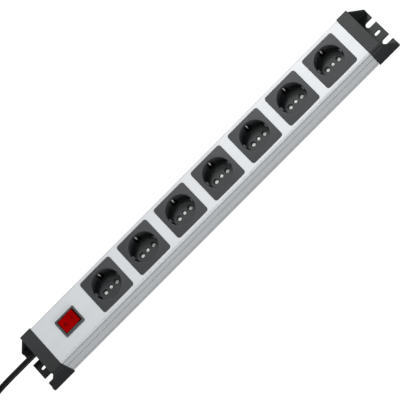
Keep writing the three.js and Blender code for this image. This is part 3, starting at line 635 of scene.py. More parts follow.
    def mirrored(self, axis: Axis) -> "Body":
        """Turns the body into its mirror image through the middle of the strip and returns it."""
        scale = Vector([-1.0 if i == axis.value else 1.0 for i in range(3)])
        bmesh.ops.scale(self.bm, verts=self.bm.verts[:], vec=scale)
        bmesh.ops.reverse_faces(self.bm, faces=self.bm.faces[:])
        return self

    def copied(self) -> "Body":
        """Returns a second body of the same shape."""
        other = Body()
        other.bm = self.bm.copy()
        return other

    def placed(self, name: str) -> bpy.types.Object:
        """Puts the body into the scene as a mesh object and returns that."""
        mesh = bpy.data.meshes.new(name)
        self.bm.to_mesh(mesh)
        made = bpy.data.objects.new(name, mesh)
        bpy.context.scene.collection.objects.link(made)
        return made

    def changed(self, change: Change, others: list["Body"]) -> "Body":
        """Joins other bodies to this one, or cuts them out of it.

        Args:
            change: Whether they are joined or cut.
            others: The other bodies, which are used up.

        Returns:
            The body itself.
        """
        base = self.placed("work")
        tools = [other.placed("tool") for other in others]
        for tool in tools:
            modifier = base.modifiers.new("change", "BOOLEAN")
            modifier.operation = change.value
            modifier.solver = "EXACT"
            modifier.object = tool
        graph = bpy.context.evaluated_depsgraph_get()
        mesh = bpy.data.meshes.new_from_object(base.evaluated_get(graph))
        self.bm.clear()
        self.bm.from_mesh(mesh)
        for used in [base, *tools]:
            worn = used.data
            bpy.data.objects.remove(used)
            bpy.data.meshes.remove(worn)
        bpy.data.meshes.remove(mesh)
        bmesh.ops.remove_doubles(self.bm, verts=self.bm.verts[:], dist=2e-6)
        bmesh.ops.dissolve_limit(
            self.bm, angle_limit=math.radians(0.05), verts=self.bm.verts[:], edges=self.bm.edges[:]
        )
        return self

    def cut(self, *tools: "Body") -> "Body":
        """Cuts bodies out of this one and returns it."""
        return self.changed(Change.CUT, list(tools))

    def joined(self, *others: "Body") -> "Body":
        """Joins bodies to this one and returns it."""
        return self.changed(Change.JOIN, list(others))

    def added(self, *others: "Body") -> "Body":
        """Puts the faces of other bodies beside this one's, unjoined, and returns it."""
        for other in others:
            mesh = bpy.data.meshes.new("added")
            other.bm.to_mesh(mesh)
            self.bm.from_mesh(mesh)
            bpy.data.meshes.remove(mesh)
        return self


@dataclass
class Builder:
    """Turns bodies into finished pieces of the strip."""

    frame: dict

    def piece(
        self, name: str, body: Body, finish: Finish, replaces: str = "",
        rides: str = "strip_body",
    ) -> bpy.types.Object:
        """Puts a finished body in the scene.

        Args:
            name: The piece's name.
            body: Its shape.
            finish: Its finish.
            replaces: The node of the frame that it stands for, if there is one.
            rides: The body of the frame that it moves with.

        Returns:
            The object.
        """
        made = body.placed(name)
        made.data.materials.append(finish.material())
        made.data.shade_smooth()
        made.data.set_sharp_from_angle(angle=math.radians(38))
        weighted = made.modifiers.new("even_shading", "WEIGHTED_NORMAL")
        weighted.keep_sharp = True
        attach(made, rides)
        if replaces:
            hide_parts(replaces)
        LOG.info("%s: %d faces on %s", name, len(made.data.polygons), rides)
        return made

    def dress(self, finish: Finish, *nodes: str) -> None:
        """Gives nodes of the frame that stay a finish."""
        for node in nodes:
            carried = self.frame["nodes"][node]
            carried.data.materials.clear()
            carried.data.materials.append(finish.material())
            LOG.info("%s dressed in %s", node, finish.name)


# ----- Studio -----


@dataclass
class Studio:
    """The camera, the floor and the lights."""

    lens: float = 240.06
    sensor: float = 36.0
    eye: Triple = (0.19531, -1.30273, 3.09355)
    turn: Triple = (14.4333, 18.4362, -42.0452)
    floor_size: float = 60.0
    floor_glow: float = 0.98
    floor_paint: float = 0.12
    floor_thrown: float = 0.3
    ambient: float = 0.2

    def camera(self) -> None:
        """Makes the camera."""
        data = bpy.data.cameras.new("camera")
        data.lens = self.lens
        data.sensor_width = self.sensor
        made = bpy.data.objects.new("camera", data)
        made.location = self.eye
        made.rotation_euler = [math.radians(angle) for angle in self.turn]
        bpy.context.scene.collection.objects.link(made)
        bpy.context.scene.camera = made

    @staticmethod
    def shade(tree: bpy.types.NodeTree, kind: str, name: str, value: object) -> NodeValue:
        """Adds a shader node with one input set and returns what it gives."""
        node = tree.nodes.new(kind)
        node.inputs[name].default_value = value
        return node.outputs[0]

    @staticmethod
    def split(tree: bpy.types.NodeTree, output: str, thrown: NodeValue, seen: NodeValue) -> None:
        """Ends a node tree with one shade for the camera and one for all other rays.

        Args:
            tree: The node tree.
            output: Blender's name of its output node.
            thrown: The shade that other rays meet.
            seen: The shade that the camera sees.
        """
        both = tree.nodes.new("ShaderNodeMixShader")
        camera_ray = tree.nodes.new("ShaderNodeLightPath").outputs["Is Camera Ray"]
        for value, target in zip((camera_ray, thrown, seen), both.inputs):
            tree.links.new(value, target)
        tree.links.new(both.outputs[0], tree.nodes.new(output).inputs["Surface"])

    def floor(self) -> None:
        """Makes the pale floor, bright to the eye and softer in what it throws back."""
        sheet = Body()
        bmesh.ops.create_grid(sheet.bm, x_segments=1, y_segments=1, size=self.floor_size / 2)
        made = sheet.placed("floor")
        material = bpy.data.materials.new("floor_paint")
        material.use_nodes = True
        tree = material.node_tree
        tree.nodes.clear()
        grey = ((value, value, value, 1.0) for value in (self.floor_paint, self.floor_thrown))
        paint, thrown = (self.shade(tree, "ShaderNodeBsdfDiffuse", "Color", g) for g in grey)
        glow = self.shade(tree, "ShaderNodeEmission", "Strength", self.floor_glow)
        seen = tree.nodes.new("ShaderNodeAddShader")
        tree.links.new(paint, seen.inputs[0])
        tree.links.new(glow, seen.inputs[1])
        self.split(tree, "ShaderNodeOutputMaterial", thrown, seen.outputs[0])
        made.data.materials.append(material)

    @staticmethod
    def lamp(name: str, place: Triple, size: Pair, watts: float) -> None:
        """Makes a soft rectangular lamp that faces the middle of the strip.

        Args:
            name: Its name.
            place: Where it hangs, in metres.
            size: Its width and height in metres.
            watts: Its power.
        """
        data = bpy.data.lights.new(name, "AREA")
        data.shape = "RECTANGLE"
        data.size, data.size_y = size
        data.energy = watts
        made = bpy.data.objects.new(name, data)
        made.location = place
        made.rotation_euler = (-Vector(place)).to_track_quat("-Z", "Y").to_euler()
        bpy.context.scene.collection.objects.link(made)

    def light(self) -> None:
        """Makes the lamps and the even light around them."""
        self.lamp("key", (0.36, 0.95, 1.25), (0.4, 0.4), 12.3)
        self.lamp("overhead", (-0.16, 1.05, 2.3), (0.8, 0.5), 7.5)
        self.lamp("near_fill", (0.2, -1.9, 0.6), (2.2, 0.7), 24.5)
        world = bpy.data.worlds.new("studio")
        world.use_nodes = True
        tree = world.node_tree
        tree.nodes.clear()
        around, seen = (
            self.shade(tree, "ShaderNodeBackground", "Strength", strength)
            for strength in (self.ambient, 1.0)
        )
        for shade in (around, seen):
            shade.node.inputs["Color"].default_value = (1.0, 1.0, 1.0, 1.0)
        self.split(tree, "ShaderNodeOutputWorld", around, seen)
        bpy.context.scene.world = world
        bpy.context.scene.view_settings.view_transform = "Standard"


# ----- Lead -----


def eased(share: float) -> float:
    """Returns a share from 0 to 1 that starts and ends gently."""
    return share * share * (3 - 2 * share)


@dataclass
class MainsLead:
    """The lead: a straight stretch, a tied coil for storage, and a stretch to the plug."""

    diameter: float = 7.5
    length: float = 1500.0
    exit: Triple = (-291.4, 15.5, 17.0)
    centre: Pair = (-440.0, 20.5)
    inner: float = 32.2
    step: float = 7.7
    level: float = 3.8
    lift: float = 1.1
    tie_angle: float = 120.0
    lift_spread: float = 14.0
    start_angle: float = -30.0
    turns: float = 5.3
    points_per_turn: int = 20
    rise_from: float = 5.1
    rise_length: float = 93.0
    plug_level: float = 19.0

    def outward(self) -> list[Triple]:
        """Returns the route from inside the end cap down to the coil."""
        return [
            (-265.0, 15.5, 17.0), (-277.0, 15.5, 17.0), (-289.0, 15.5, 17.0),
            (-303.0, 15.5, 17.0), (-317.0, 15.5, 17.0), (-331.0, 15.5, 17.0),
            (-345.0, 15.4, 16.8), (-357.0, 15.4, 15.5), (-366.0, 15.3, 13.2),
            (-375.5, 14.2, 10.2), (-384.6, 10.4, 7.1), (-392.3, 4.7, 4.7),
        ]

    def inward(self) -> list[Triple]:
        """Returns the route from the coil into the plug."""
        return [
            (-490.3, -5.8, 18.5), (-497.3, -3.8, 18.9), (-504.6, -3.0, 19.0),
            (-511.6, -3.0, 19.0), (-518.6, -3.0, 19.0),
        ]

    def climbing(self, share: float) -> Pair:
        """Returns radius and height where one turn climbs onto the turn before it.

        Args:
            share: How much of the climbing turn is done, from 0 to 1.

        Returns:
            The radius and the height.
        """
        lean = math.pi / 2 * eased(share)
        radius = self.inner + self.step * (1 - share) - self.step * math.cos(lean)
        return radius, self.level + self.step * math.sin(lean)

    def topping(self, share: float) -> Pair:
        """Returns radius and height on the first turn of the upper layer, beside the climb."""
        radius, height = self.climbing(share)
        level = self.level + self.step + 0.25 * math.sin(math.pi * share)
        rise = level - height
        return radius + math.sqrt(max(0.0, self.step**2 - rise**2)), level

    def ring(self, turn: float) -> Pair:
        """Returns radius and height after a number of turns of the coil."""
        if turn < 2:
            return self.inner + self.step * (2 - turn), self.level
        if turn < 3:
            return self.climbing(turn - 2)
        if turn < 4:
            return self.topping(turn - 3)
        radius = self.topping(turn % 1)[0] + self.step * math.floor(turn - 3)
        run = 2 * math.pi * radius * (turn - self.rise_from) / self.rise_length
        share = min(max(run, 0.0), 1.0)
        low = self.level + self.step
        return radius, low + (self.plug_level - low) * eased(share)

    def coiled(self) -> list[Triple]:
        """Returns the route through the coil, from its nearest point to where it leaves."""
        points = []
        count = round(self.turns * self.points_per_turn)
        for index in range(count + 1):
            turn = self.turns * index / count
            radius, height = self.ring(turn)
            degrees = self.start_angle - 360.0 * turn
            away = (degrees - self.tie_angle + 180.0) % 360.0 - 180.0
            height += self.lift * math.exp(-(away**2) / (2 * self.lift_spread**2))
            angle = math.radians(degrees)
            x = self.centre[0] + radius * math.cos(angle)
            y = self.centre[1] + radius * math.sin(angle)
            points.append((x, y, height))
        return points

    def build(self) -> bpy.types.Object:
        """Makes the lead as a curve and returns it."""
        route = self.outward() + self.coiled() + self.inward()
        data = bpy.data.curves.new("mains_lead", "CURVE")
        data.dimensions = "3D"
        data.resolution_u = 6
        data.bevel_depth = self.diameter / 2 * MM
        data.bevel_resolution = 6
        data.use_fill_caps = True
        spline = data.splines.new("BEZIER")
        spline.bezier_points.add(len(route) - 1)
        for point, place in zip(spline.bezier_points, route):
            point.co = Vector(place) * MM
            point.handle_left_type = "AUTO"
            point.handle_right_type = "AUTO"
        data.materials.append(Finishes.cord.material())
        made = bpy.data.objects.new("mains_lead", data)
        bpy.context.scene.collection.objects.link(made)
        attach(made, "strip_body")
        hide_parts("mains_cord_out", "mains_cord_coil", "mains_cord_in")
        LOG.info("mains_lead: %d points", len(route))
        return made


@dataclass
class CordTie:
    """The woven tape round the coil."""

    centre: Pair = (-440.0, 20.5)
    angle: float = 120.0
    near: float = 26.2
    far: float = 52.2
    height: float = 17.7
    width: float = 11.0
    thickness: float = 0.9
    outer_radius: float = 3.2
    inner_radius: float = 2.4

    @staticmethod
    def runs_across(edge: bmesh.types.BMEdge) -> bool:
        """Tells whether an edge runs across the tape."""
        return Body.runs(edge, Axis.ACROSS)

    def build(self, builder: Builder) -> bpy.types.Object:
        """Makes the tie and returns it."""
        low, high = (self.near, -self.width / 2, 0.05), (self.far, self.width / 2, self.height)
        outer = Body.block(low, high).soften(self.outer_radius, 6, self.runs_across)
        thick = self.thickness
        hole = Body.block(
            (self.near + thick, -self.width, 0.05 + thick),
            (self.far - thick, self.width, self.height - thick),
        ).soften(self.inner_radius, 6, self.runs_across)
        band = outer.cut(hole)
        band.soften(0.25, 2)
        band.rotated(self.angle, Axis.UP).moved(*self.centre)
        return builder.piece("cord_tie_band", band, Finishes.tie, "cord_tie")


@dataclass
class Plug:
    """The moulded plug with its ribbed sleeve, turned pins and earth contacts."""

    start: Triple = (-512.0, -3.0, 19.0)
    radius: float = 18.6
    sleeve: float = 24.0
    total: float = 57.0
    pin_radius: float = 2.4
    pin_length: float = 19.0
    pin_seat: float = 12.0
    pin_tip: float = 2.4
    pin_flat: float = 0.9
    pin_dome: float = 1.8
    spacing: float = 19.0
    rib_count: int = 6
    clip_half: float = 3.3
    clip_reach: float = 16.3
    clip_depth: float = 1.6
    grip_count: int = 4
    grip_from: float = 12.5
    grip_pitch: float = 3.4
    grip_width: float = 1.5
    grip_half: float = 9.0
    grip_depth: float = 0.9

    def shell(self) -> Body:
        """Returns the turned moulding: ribbed sleeve, shoulder and round body, without the finger
        grips.
        """
        profile = [(0.0, 0.0), (5.0, 0.0), (5.4, 0.4)]
        pitch = (self.sleeve - 5.0) / self.rib_count
        for rib in range(self.rib_count):
            start = 1.2 + rib * pitch
            radius = 5.4 + 1.5 * (rib + 1) / self.rib_count
            profile += [
                (radius - 0.1, start), (radius, start + 0.3), (radius, start + pitch * 0.58),
                (radius - 1.1, start + pitch * 0.66), (radius - 1.1, start + pitch * 0.92),
            ]
        profile += [
            (7.6, self.sleeve - 3.2), (8.6, self.sleeve - 1.0), (12.0, self.sleeve + 1.2),
            (15.4, self.sleeve + 3.0), (17.4, self.sleeve + 5.0),
            (18.3, self.sleeve + 7.5), (self.radius, self.sleeve + 10.0),
            (self.radius, self.total - 1.2), (self.radius - 0.5, self.total - 0.3),
            (self.radius - 1.2, self.total), (0.0, self.total),
        ]
        flipped = [(radius, -along) for radius, along in profile]
        return Body.turned(flipped, self.start, Axis.ALONG, 72)

    def build(self, builder: Builder) -> list[bpy.types.Object]:
        """Makes the plug's pieces and returns them."""
        x, y, z = self.start
        face = x - self.total
        tools = []
        for side in (-1, 1):
            tools.append(
                Body.rod(
                    self.pin_radius + 0.3, (face - 2, y + side * self.spacing / 2, z),
                    self.pin_seat + 1.5, Axis.ALONG, 32,
                )
            )
            beyond = side * (self.radius + 3)
            half, clip = self.clip_half, z + side * (self.radius - self.clip_depth)
            tools.append(
                Body.block(
                    (face - 1, y - half, clip), (face + self.clip_reach, y + half, z + beyond)
                )
            )
            half, grip = self.grip_half, y + side * (self.radius - self.grip_depth)
            for groove in range(self.grip_count):
                start = x - self.sleeve - self.grip_from - groove * self.grip_pitch
                low = (start - self.grip_width, grip, z - half)
                tools.append(Body.block(low, (start, y + beyond, z + half)))
        shell = self.shell().cut(*tools).soften(0.3, 2)
        made = [builder.piece("plug_moulding", shell, Finishes.plug, "plug_body")]
        for index, side in ((1, 1), (2, -1)):
            reach = self.pin_length + self.pin_seat - 3.0 + self.pin_tip
            radius = self.pin_radius
            profile = [(0.0, 0.0), (radius, 0.0), (radius, -reach + self.pin_dome)]
            flat, dome = self.pin_flat, self.pin_dome
            for step in range(1, 7):
                angle = math.radians(15 * step)
                out = flat + (radius - flat) * math.cos(angle)
                profile.append((out, -reach + dome - dome * math.sin(angle)))
            profile.append((0.0, -reach))
            place = (face + self.pin_seat - 0.6, y + side * self.spacing / 2, z)
            pin = Body.turned(profile, place, Axis.ALONG, 32)
            made.append(
                builder.piece(
                    f"plug_pin_{index}_turned", pin, Finishes.nickel,
                    f"plug_pin_{index}",
                )
            )
        builder.dress(Finishes.nickel, "plug_earth_contact_1", "plug_earth_contact_2")
        return made


# ----- Housing -----


@dataclass
class Profile:
    """The aluminium channel with its grooves, rails, screw channels and cut-outs."""

    half_length: float = 271.5
    half_width: float = 31.5
    low: float = 0.5
    top: float = 47.5
    top_wall: float = 2.2
    side_wall: float = 1.8
    corner: float = 2.4
    grooves: tuple[float, ...] = (5.7, 20.9, 40.7)
    groove_half: float = 1.0
    groove_depth: float = 1.15
    rail: float = 2.0
    rail_level: float = 1.6
    rail_top: float = 4.2
    channel_radius: float = 2.9
    channel_bore: float = 1.9
    socket_opening: float = 47.4
    socket_corner: float = 2.9
    switch_opening: Pair = (30.2, 23.0)

    def flank(self) -> list[Pair]:
        """Returns the outline of one side from the bottom edge to the middle of the top."""
        points = [(self.half_width, self.low)]
        for depth in reversed(self.grooves):
            middle = self.top - depth
            for step in range(9):
                angle = math.pi * step / 8
                inward = self.groove_depth * math.sin(angle) ** 0.6 if 0 < step < 8 else 0.0
                points.append(
                    (self.half_width - inward, middle - self.groove_half * math.cos(angle))
                )
        for step in range(9):
            angle = math.pi / 2 * step / 8
            points.append(
                (
                    self.half_width - self.corner + self.corner * math.cos(angle),
                    self.top - self.corner + self.corner * math.sin(angle),
                )
            )
        return points

    def outline(self) -> list[Pair]:
        """Returns the whole section of the channel."""
        right = self.flank()
        wall = self.half_width - self.side_wall
        rail = wall - self.rail
        inner = [
            (wall, self.top - self.top_wall), (wall, self.rail_top + 1.1),
            (rail, self.rail_top + 1.1), (rail, self.rail_top), (wall, self.rail_top),
            (wall, self.rail_level), (rail, self.rail_level), (rail, self.low),
        ]
        left = [(-y, z) for y, z in reversed(right)]
        return right + left + [(-y, z) for y, z in reversed(inner)] + inner

    def build(self, builder: Builder, socket_places: list[float], switch_place: float) -> None:
        """Makes the channel.

        Args:
            builder: Makes finished pieces.
            socket_places: Where the sockets stand along the strip.
            switch_place: Where the switch stands.
        """
        end = self.half_length
        channel = Body.run(self.outline(), Axis.ALONG, -end, end)
        wall = self.half_width - self.side_wall
        y, z = wall - 2.5, self.top - self.top_wall - 2.5
        joins, bores = [], []
        for side in (-1, 1):
            place = (-end, side * y, z)
            joins.append(Body.rod(self.channel_radius, place, 2 * end, Axis.ALONG, 20))
            corner = (end, side * (wall + 0.5), self.top - self.top_wall + 0.5)
            joins.append(Body.block((-end, side * y, z), corner))
            bores.append(
                Body.rod(self.channel_bore, (-end - 1, side * y, z), 2 * end + 2, Axis.ALONG, 20)
            )
        low = self.top - self.top_wall - 6
        openings = [
            Body.plate(
                (self.socket_opening, self.socket_opening), low, self.top + 1, self.socket_corner
            ).moved(x)
            for x in socket_places
        ]
        openings.append(
            Body.plate(self.switch_opening, low, self.top + 1, 0.6).moved(switch_place)
        )
        channel.joined(*joins).cut(*bores, *openings)
        builder.piece(
            "aluminium_channel", channel, Finishes.profile, "housing_profile"
        )
        builder.dress(Finishes.steel, "base_plate")


@dataclass
class EndCap:
    """A moulded end cap with cheeks, gussets and a slotted foot, drawn for the +X end."""

    start: float = 271.8
    wall_x: float = 289.0
    tip: float = 307.0
    top: float = 48.5
    shoulder: float = 32.5
    cheek: float = 33.3
    ledge: float = 40.0
    foot: float = 3.0
    gusset: float = 2.8
    gusset_tip: float = 7.2
    slot_width: float = 8.0
    slot_offset: float = 16.0
    slot_depth: float = 14.0
    hole_length: float = 9.0
    hole_width: float = 4.6
    hole_place: float = 297.8
    screw_y: float = 27.2
    screw_z: float = 42.8
    screw_hole: float = 3.4
    screw_bore: float = 1.8
    sleeve_end: float = 262.5
    sleeve_half: float = 27.2
    sleeve_heights: Pair = (1.9, 38.4)
    pocket_half: float = 25.0
    pocket_heights: Pair = (4.1, 36.2)
    wall: float = 2.2
    cord_y: float = 15.5
    cord_z: float = 17.0
    bush_bore: float = 6.3
    shelf_half: float = 9.2
    shelf_heights: Pair = (3.6, 12.9)
    shelf_start: float = 273.7
    clamp_screw: float = 6.8

    def shape(self) -> Body:
        """Returns the cap without the hole for the lead."""
        right = [
            (self.cheek, 0.0), (self.cheek, self.ledge - 0.6), (self.shoulder, self.ledge),
            (self.shoulder, self.top),
        ]
        left = [(-y, z) for y, z in reversed(right)]
        body = Body.run(right + left, Axis.ALONG, self.start, self.wall_x)
        body.soften(
            1.8, 5,
            lambda e: Body.runs(e, Axis.ALONG) and e.verts[0].co.z > (self.top - 0.1) * MM,
        )
        inner = self.wall_x - 1.0
        foot = Body.block((inner, -self.cheek, 0.0), (self.tip, self.cheek, self.foot))
        outline = [
            (inner, 0.0), (self.tip, 0.0), (self.tip, self.gusset_tip),
            (self.wall_x, self.ledge - 0.6), (inner, self.ledge - 0.6),
        ]
        gussets = [
            Body.run(outline, Axis.ACROSS, self.cheek - self.gusset, self.cheek),
            Body.run(outline, Axis.ACROSS, -self.cheek, self.gusset - self.cheek),
        ]
        (low, high), half = self.sleeve_heights, self.sleeve_half
        sleeve = Body.block((self.sleeve_end, -half, low), (self.start + 1.0, half, high))
        (low, high), half = self.pocket_heights, self.pocket_half
        pocket = Body.block(
            (self.sleeve_end - 1.0, -half, low), (self.wall_x - self.wall, half, high)
        )
        body.joined(foot, *gussets, sleeve)
        tools = [pocket]
        slot_x = self.tip - self.slot_depth + self.slot_width / 2
        for side in (-1, 1):
            y = side * self.slot_offset
            slot = Body.rod(self.slot_width / 2, (slot_x, y, -1.0), self.foot + 2.0)
            mouth = Body.block(
                (slot_x, y - self.slot_width / 2, -1.0),
                (self.tip + 2.0, y + self.slot_width / 2, self.foot + 1.0),
            )
            tools += [slot, mouth]
            y, z = side * self.screw_y, self.screw_z
            head = Body.rod(self.screw_hole, (self.wall_x - 2.1, y, z), 4.0, Axis.ALONG, 32)
            tools.append(head)
            tools.append(Body.rod(self.screw_bore, (self.wall_x - 30, y, z), 34.0, Axis.ALONG, 24))
        radius = self.hole_width / 2
        half = self.hole_length / 2 - radius
        start, end = self.hole_place - half, self.hole_place + half
        tools += [Body.rod(radius, (x, 0.0, -1.0), self.foot + 2.0) for x in (start, end)]
        middle = Body.block((start, -radius, -1.0), (end, radius, self.foot + 1.0))
        return body.cut(*tools, middle)

    def build(self, builder: Builder) -> None:
        """Makes both caps and their screws."""
        plain = self.shape()
        cord = plain.copied().rotated(180.0, Axis.UP)
        y, (low, high) = self.cord_y, self.shelf_heights
        shelf = Body.block(
            (-self.shelf_start, y - self.shelf_half, low),
            (-self.sleeve_end, y + self.shelf_half, high),
        )
        bores = [Body.rod(self.bush_bore, (-293.0, y, self.cord_z), 9.0, Axis.ALONG, 40)]
        for side in (-1, 1):
            place = (-267.0, y + side * self.clamp_screw, 6.0)
            bores.append(Body.rod(self.screw_bore, place, 9.0))
        cord.joined(shelf).cut(*bores)
        for name, shape in (("plain", plain), ("cord", cord)):
            shape.soften(0.45, 3)
            builder.piece(
                f"end_cap_{name}_moulding", shape, Finishes.cap, f"end_cap_{name}"
            )
        places = [(1, 1), (1, -1), (-1, 1), (-1, -1)]
        for number, (end, side) in enumerate(places, start=1):
            screw = self.screw().moved(self.wall_x - 0.3, 0.0, self.screw_z)
            if end < 0:
                screw.rotated(180.0, Axis.UP)
            screw.moved(0.0, side * self.screw_y, 0.0)
            builder.piece(
                f"cap_screw_{number}_pan", screw, Finishes.screw,
                f"cap_screw_{number}",
            )

    def screw(self) -> Body:
        """Returns a pan-head screw with a cross recess, its head's top at x = 0."""
        profile = [
            (0.0, 0.0), (1.4, -0.05), (2.3, -0.25), (2.85, -0.65), (3.1, -1.2), (3.1, -1.8),
            (1.5, -1.8),
        ]
        for thread in range(26):
            start = -2.4 - thread * 0.72
            profile += [(1.2, start), (1.5, start - 0.36)]
        profile += [(1.2, -21.4), (0.3, -22.0), (0.0, -22.0)]
        made = Body.turned(profile, ORIGIN, Axis.ALONG, 32)
        cross = [
            Body.block((-1.0, -wide, -high), (1.0, wide, high))
            for wide, high in ((0.45, 1.8), (1.8, 0.45))
        ]
        return made.cut(*cross)


# ----- Sockets -----


@dataclass
class Socket:
    """A square insert with its well, drawn about its own middle, with its shutter."""

    face: float = 52.0
    face_radius: float = 3.6
    face_low: float = 47.8
    face_top: float = 48.9
    body: float = 46.8
    body_low: float = 24.5
    well: float = 19.75
    floor: float = 31.4
    floor_low: float = 29.1
    rim: float = 0.55
    pin: float = 9.5
    pin_hole: float = 2.7
    dish: float = 3.9
    dish_depth: float = 1.1
    centre_hole: float = 2.6
    lug_half: float = 2.7
    lug_reach: float = 2.4
    lug_top: float = 45.9
    slot_half: float = 4.3
    slot_reach: float = 22.15
    slot_top: float = 44.9
    crown_radius: float = 520.0
    shutter_low: float = 27.2
    shutter_thick: float = 1.6
    shutter_arm: Pair = (19.0, 5.0)
    shutter_lobe: float = 3.6

    def insert(self) -> Body:
        """Returns the insert."""
        made = Body.plate((self.face, self.face), self.face_low, self.face_top, self.face_radius, 8)
        made.soften(0.5, 3, Body.above(self.face_top - 0.01))
        body = Body.plate((self.body, self.body), self.body_low, self.face_low + 0.2, 2.6)
        made.joined(body)
        well = Body.turned(
            [
                (0.0, self.floor), (self.well - 0.5, self.floor), (self.well, self.floor + 0.5),
                (self.well, self.face_top - self.rim),
                (self.well + self.rim * 0.29, self.face_top - self.rim * 0.38),
                (self.well + self.rim, self.face_top + 0.001),
                (self.well + self.rim, self.face_top + 2.0), (0.0, self.face_top + 2.0),
            ],
            ORIGIN, Axis.UP, 96,
        )
        half = self.body / 2 - 2.2
        chamber = Body.block((-half, -half, self.body_low - 1.0), (half, half, self.floor_low))
        made.cut(well, chamber)
        lugs = []
        for side in (-1, 1):
            lug = Body.block(
                (side * (self.well + 0.6), -self.lug_half, self.floor - 0.4),
                (side * (self.well - self.lug_reach), self.lug_half, self.lug_top),
            )
            lugs.append(lug.soften(0.4, 2))
        made.joined(*lugs)
        tools = [Body.rod(self.centre_hole, (0.0, 0.0, self.floor_low - 1.0), 5.0, sides=32)]
        for side in (-1, 1):
            tools.append(
                Body.block(
                    (-self.slot_half, side * (self.well - 3.0), self.body_low - 1.0),
                    (self.slot_half, side * self.slot_reach, self.slot_top),
                )
            )
            x = side * self.pin
            tools.append(Body.rod(self.pin_hole, (x, 0.0, self.floor_low - 1.0), 5.0, sides=32))
            tools.append(
                Body.rod(
                    self.pin_hole + 0.2, (x, 0.0, self.floor - self.dish_depth),
                    self.dish_depth + 0.01, sides=32, far_radius=self.dish,
                )
            )
        tools.append(
            Body.rod(
                self.centre_hole + 0.1, (0.0, 0.0, self.floor - 0.7), 0.71, sides=32,
                far_radius=self.centre_hole + 0.8,
            )
        )
        return self.crowned(made.cut(*tools))

    def crowned(self, insert: Body) -> Body:
        """Lets the face fall away a little from the rim of the well to its edges.

        Args:
            insert: The insert with its flat face.

        Returns:
            The same insert, crowned.
        """
        insert.sliced(Axis.ALONG, 25.0, 5.0).sliced(Axis.ACROSS, 25.0, 5.0)
        thick = self.face_top - self.face_low
        for vert in insert.bm.verts:
            x, y, z = (value / MM for value in vert.co)
            if z > self.face_low:
                fall = max(0.0, x * x + y * y - self.well**2) / (2 * self.crown_radius)
                vert.co.z = (self.face_low + (z - self.face_low) * (1 - fall / thick)) * MM
        return insert

    def shutter(self) -> Body:
        """Returns the shutter: two round lobes on an arm, with its hub."""
        low, thick = self.shutter_low, self.shutter_thick
        arm = Body.plate(self.shutter_arm, low, low + thick, 0.4, 2)
        lobes = [
            Body.rod(self.shutter_lobe, (x, 0.0, low), thick, sides=32)
            for x in (-self.pin, self.pin)
        ]
        hub = Body.rod(2.2, (0.0, 0.0, low - 1.0), 4.5, sides=24)
        dome = Body.turned(
            [(0.0, 30.7), (2.2, 30.7), (2.0, 30.95), (1.2, 31.1), (0.0, 31.15)],
            ORIGIN, Axis.UP, 24,
        )
        return arm.joined(*lobes, hub, dome).soften(0.2, 2)

    def build(self, builder: Builder, places: list[float]) -> None:
        """Makes every socket.

        Args:
            builder: Makes finished pieces.
            places: Where the sockets stand along the strip.
        """
        insert, shutter = self.insert(), self.shutter()
        for number, x in enumerate(places, start=1):
            builder.piece(
                f"socket_{number}_moulding", insert.copied().moved(x), Finishes.socket,
                f"socket_insert_{number}",
            )
            builder.piece(
                f"shutter_{number}_disc", shutter.copied().moved(x), Finishes.shutter,
                f"shutter_{number}", f"shutter_body_{number}",
            )


@dataclass
class ContactGear:
    """The live and neutral strips, the earth strip with its clips, and the tray."""

    strip_half: float = 4.0
    lead_in: float = 38.0
    arm_half: float = 3.2
    clip_half: float = 0.9
    outer: float = 21.85
    thickness: float = 0.8
    low: float = 8.2
    top: float = 43.4
    nose: float = 17.15

    def clip(self) -> Body:
        """Returns one sprung clip at +Y, bent from strip."""
        inner = self.outer - self.thickness
        front = [(inner, self.low), (inner, 28.8), (inner - 0.4, 30.0)]
        back = [(self.outer, self.low), (self.outer, 43.4)]
        for step in range(13):
            share = step / 12
            sweep = math.sin(math.pi * share) ** 1.3
            front.append((inner - 0.4 - (inner - 0.4 - self.nose) * sweep, 30.2 + 12.4 * share))
        front += [(inner - 0.1, self.top)]
        return Body.run(back[:1] + front + back[1:], Axis.ALONG, -self.clip_half, self.clip_half)

    def build(self, builder: Builder, places: list[float]) -> None:
        """Makes the earth strip and dresses the rest.

        Args:
            builder: Makes finished pieces.
            places: Where the sockets stand along the strip.
        """
        first, last = places[0], places[-1]
        half, arm, high = self.strip_half, self.arm_half, self.low + self.thickness
        strip = Body.block((first - self.lead_in, -half, self.low), (last + half, half, high))
        contact = Body.block((-arm, -self.outer, self.low), (arm, self.outer, high))
        hollow = Body.run(
            [
                (self.outer - 0.01, 31.4), (self.outer - 0.6, 31.4), (self.nose + 1.0, 34.6),
                (self.nose + 1.0, 38.2), (self.outer - 0.6, 41.4), (self.outer - 0.01, 41.4),
            ],
            Axis.ALONG, -arm - 1.0, arm + 1.0,
        )
        clip = self.clip().cut(hollow)
        contact.joined(clip, clip.copied().mirrored(Axis.ACROSS)).soften(0.15, 1)
        strip.joined(*(contact.copied().moved(x) for x in places))
        builder.piece("earth_strip", strip, Finishes.spring, "busbar_earth")
        builder.dress(Finishes.brass, "busbar_live", "busbar_neutral")
        builder.dress(Finishes.carrier, "contact_tray")


# ----- Switch -----


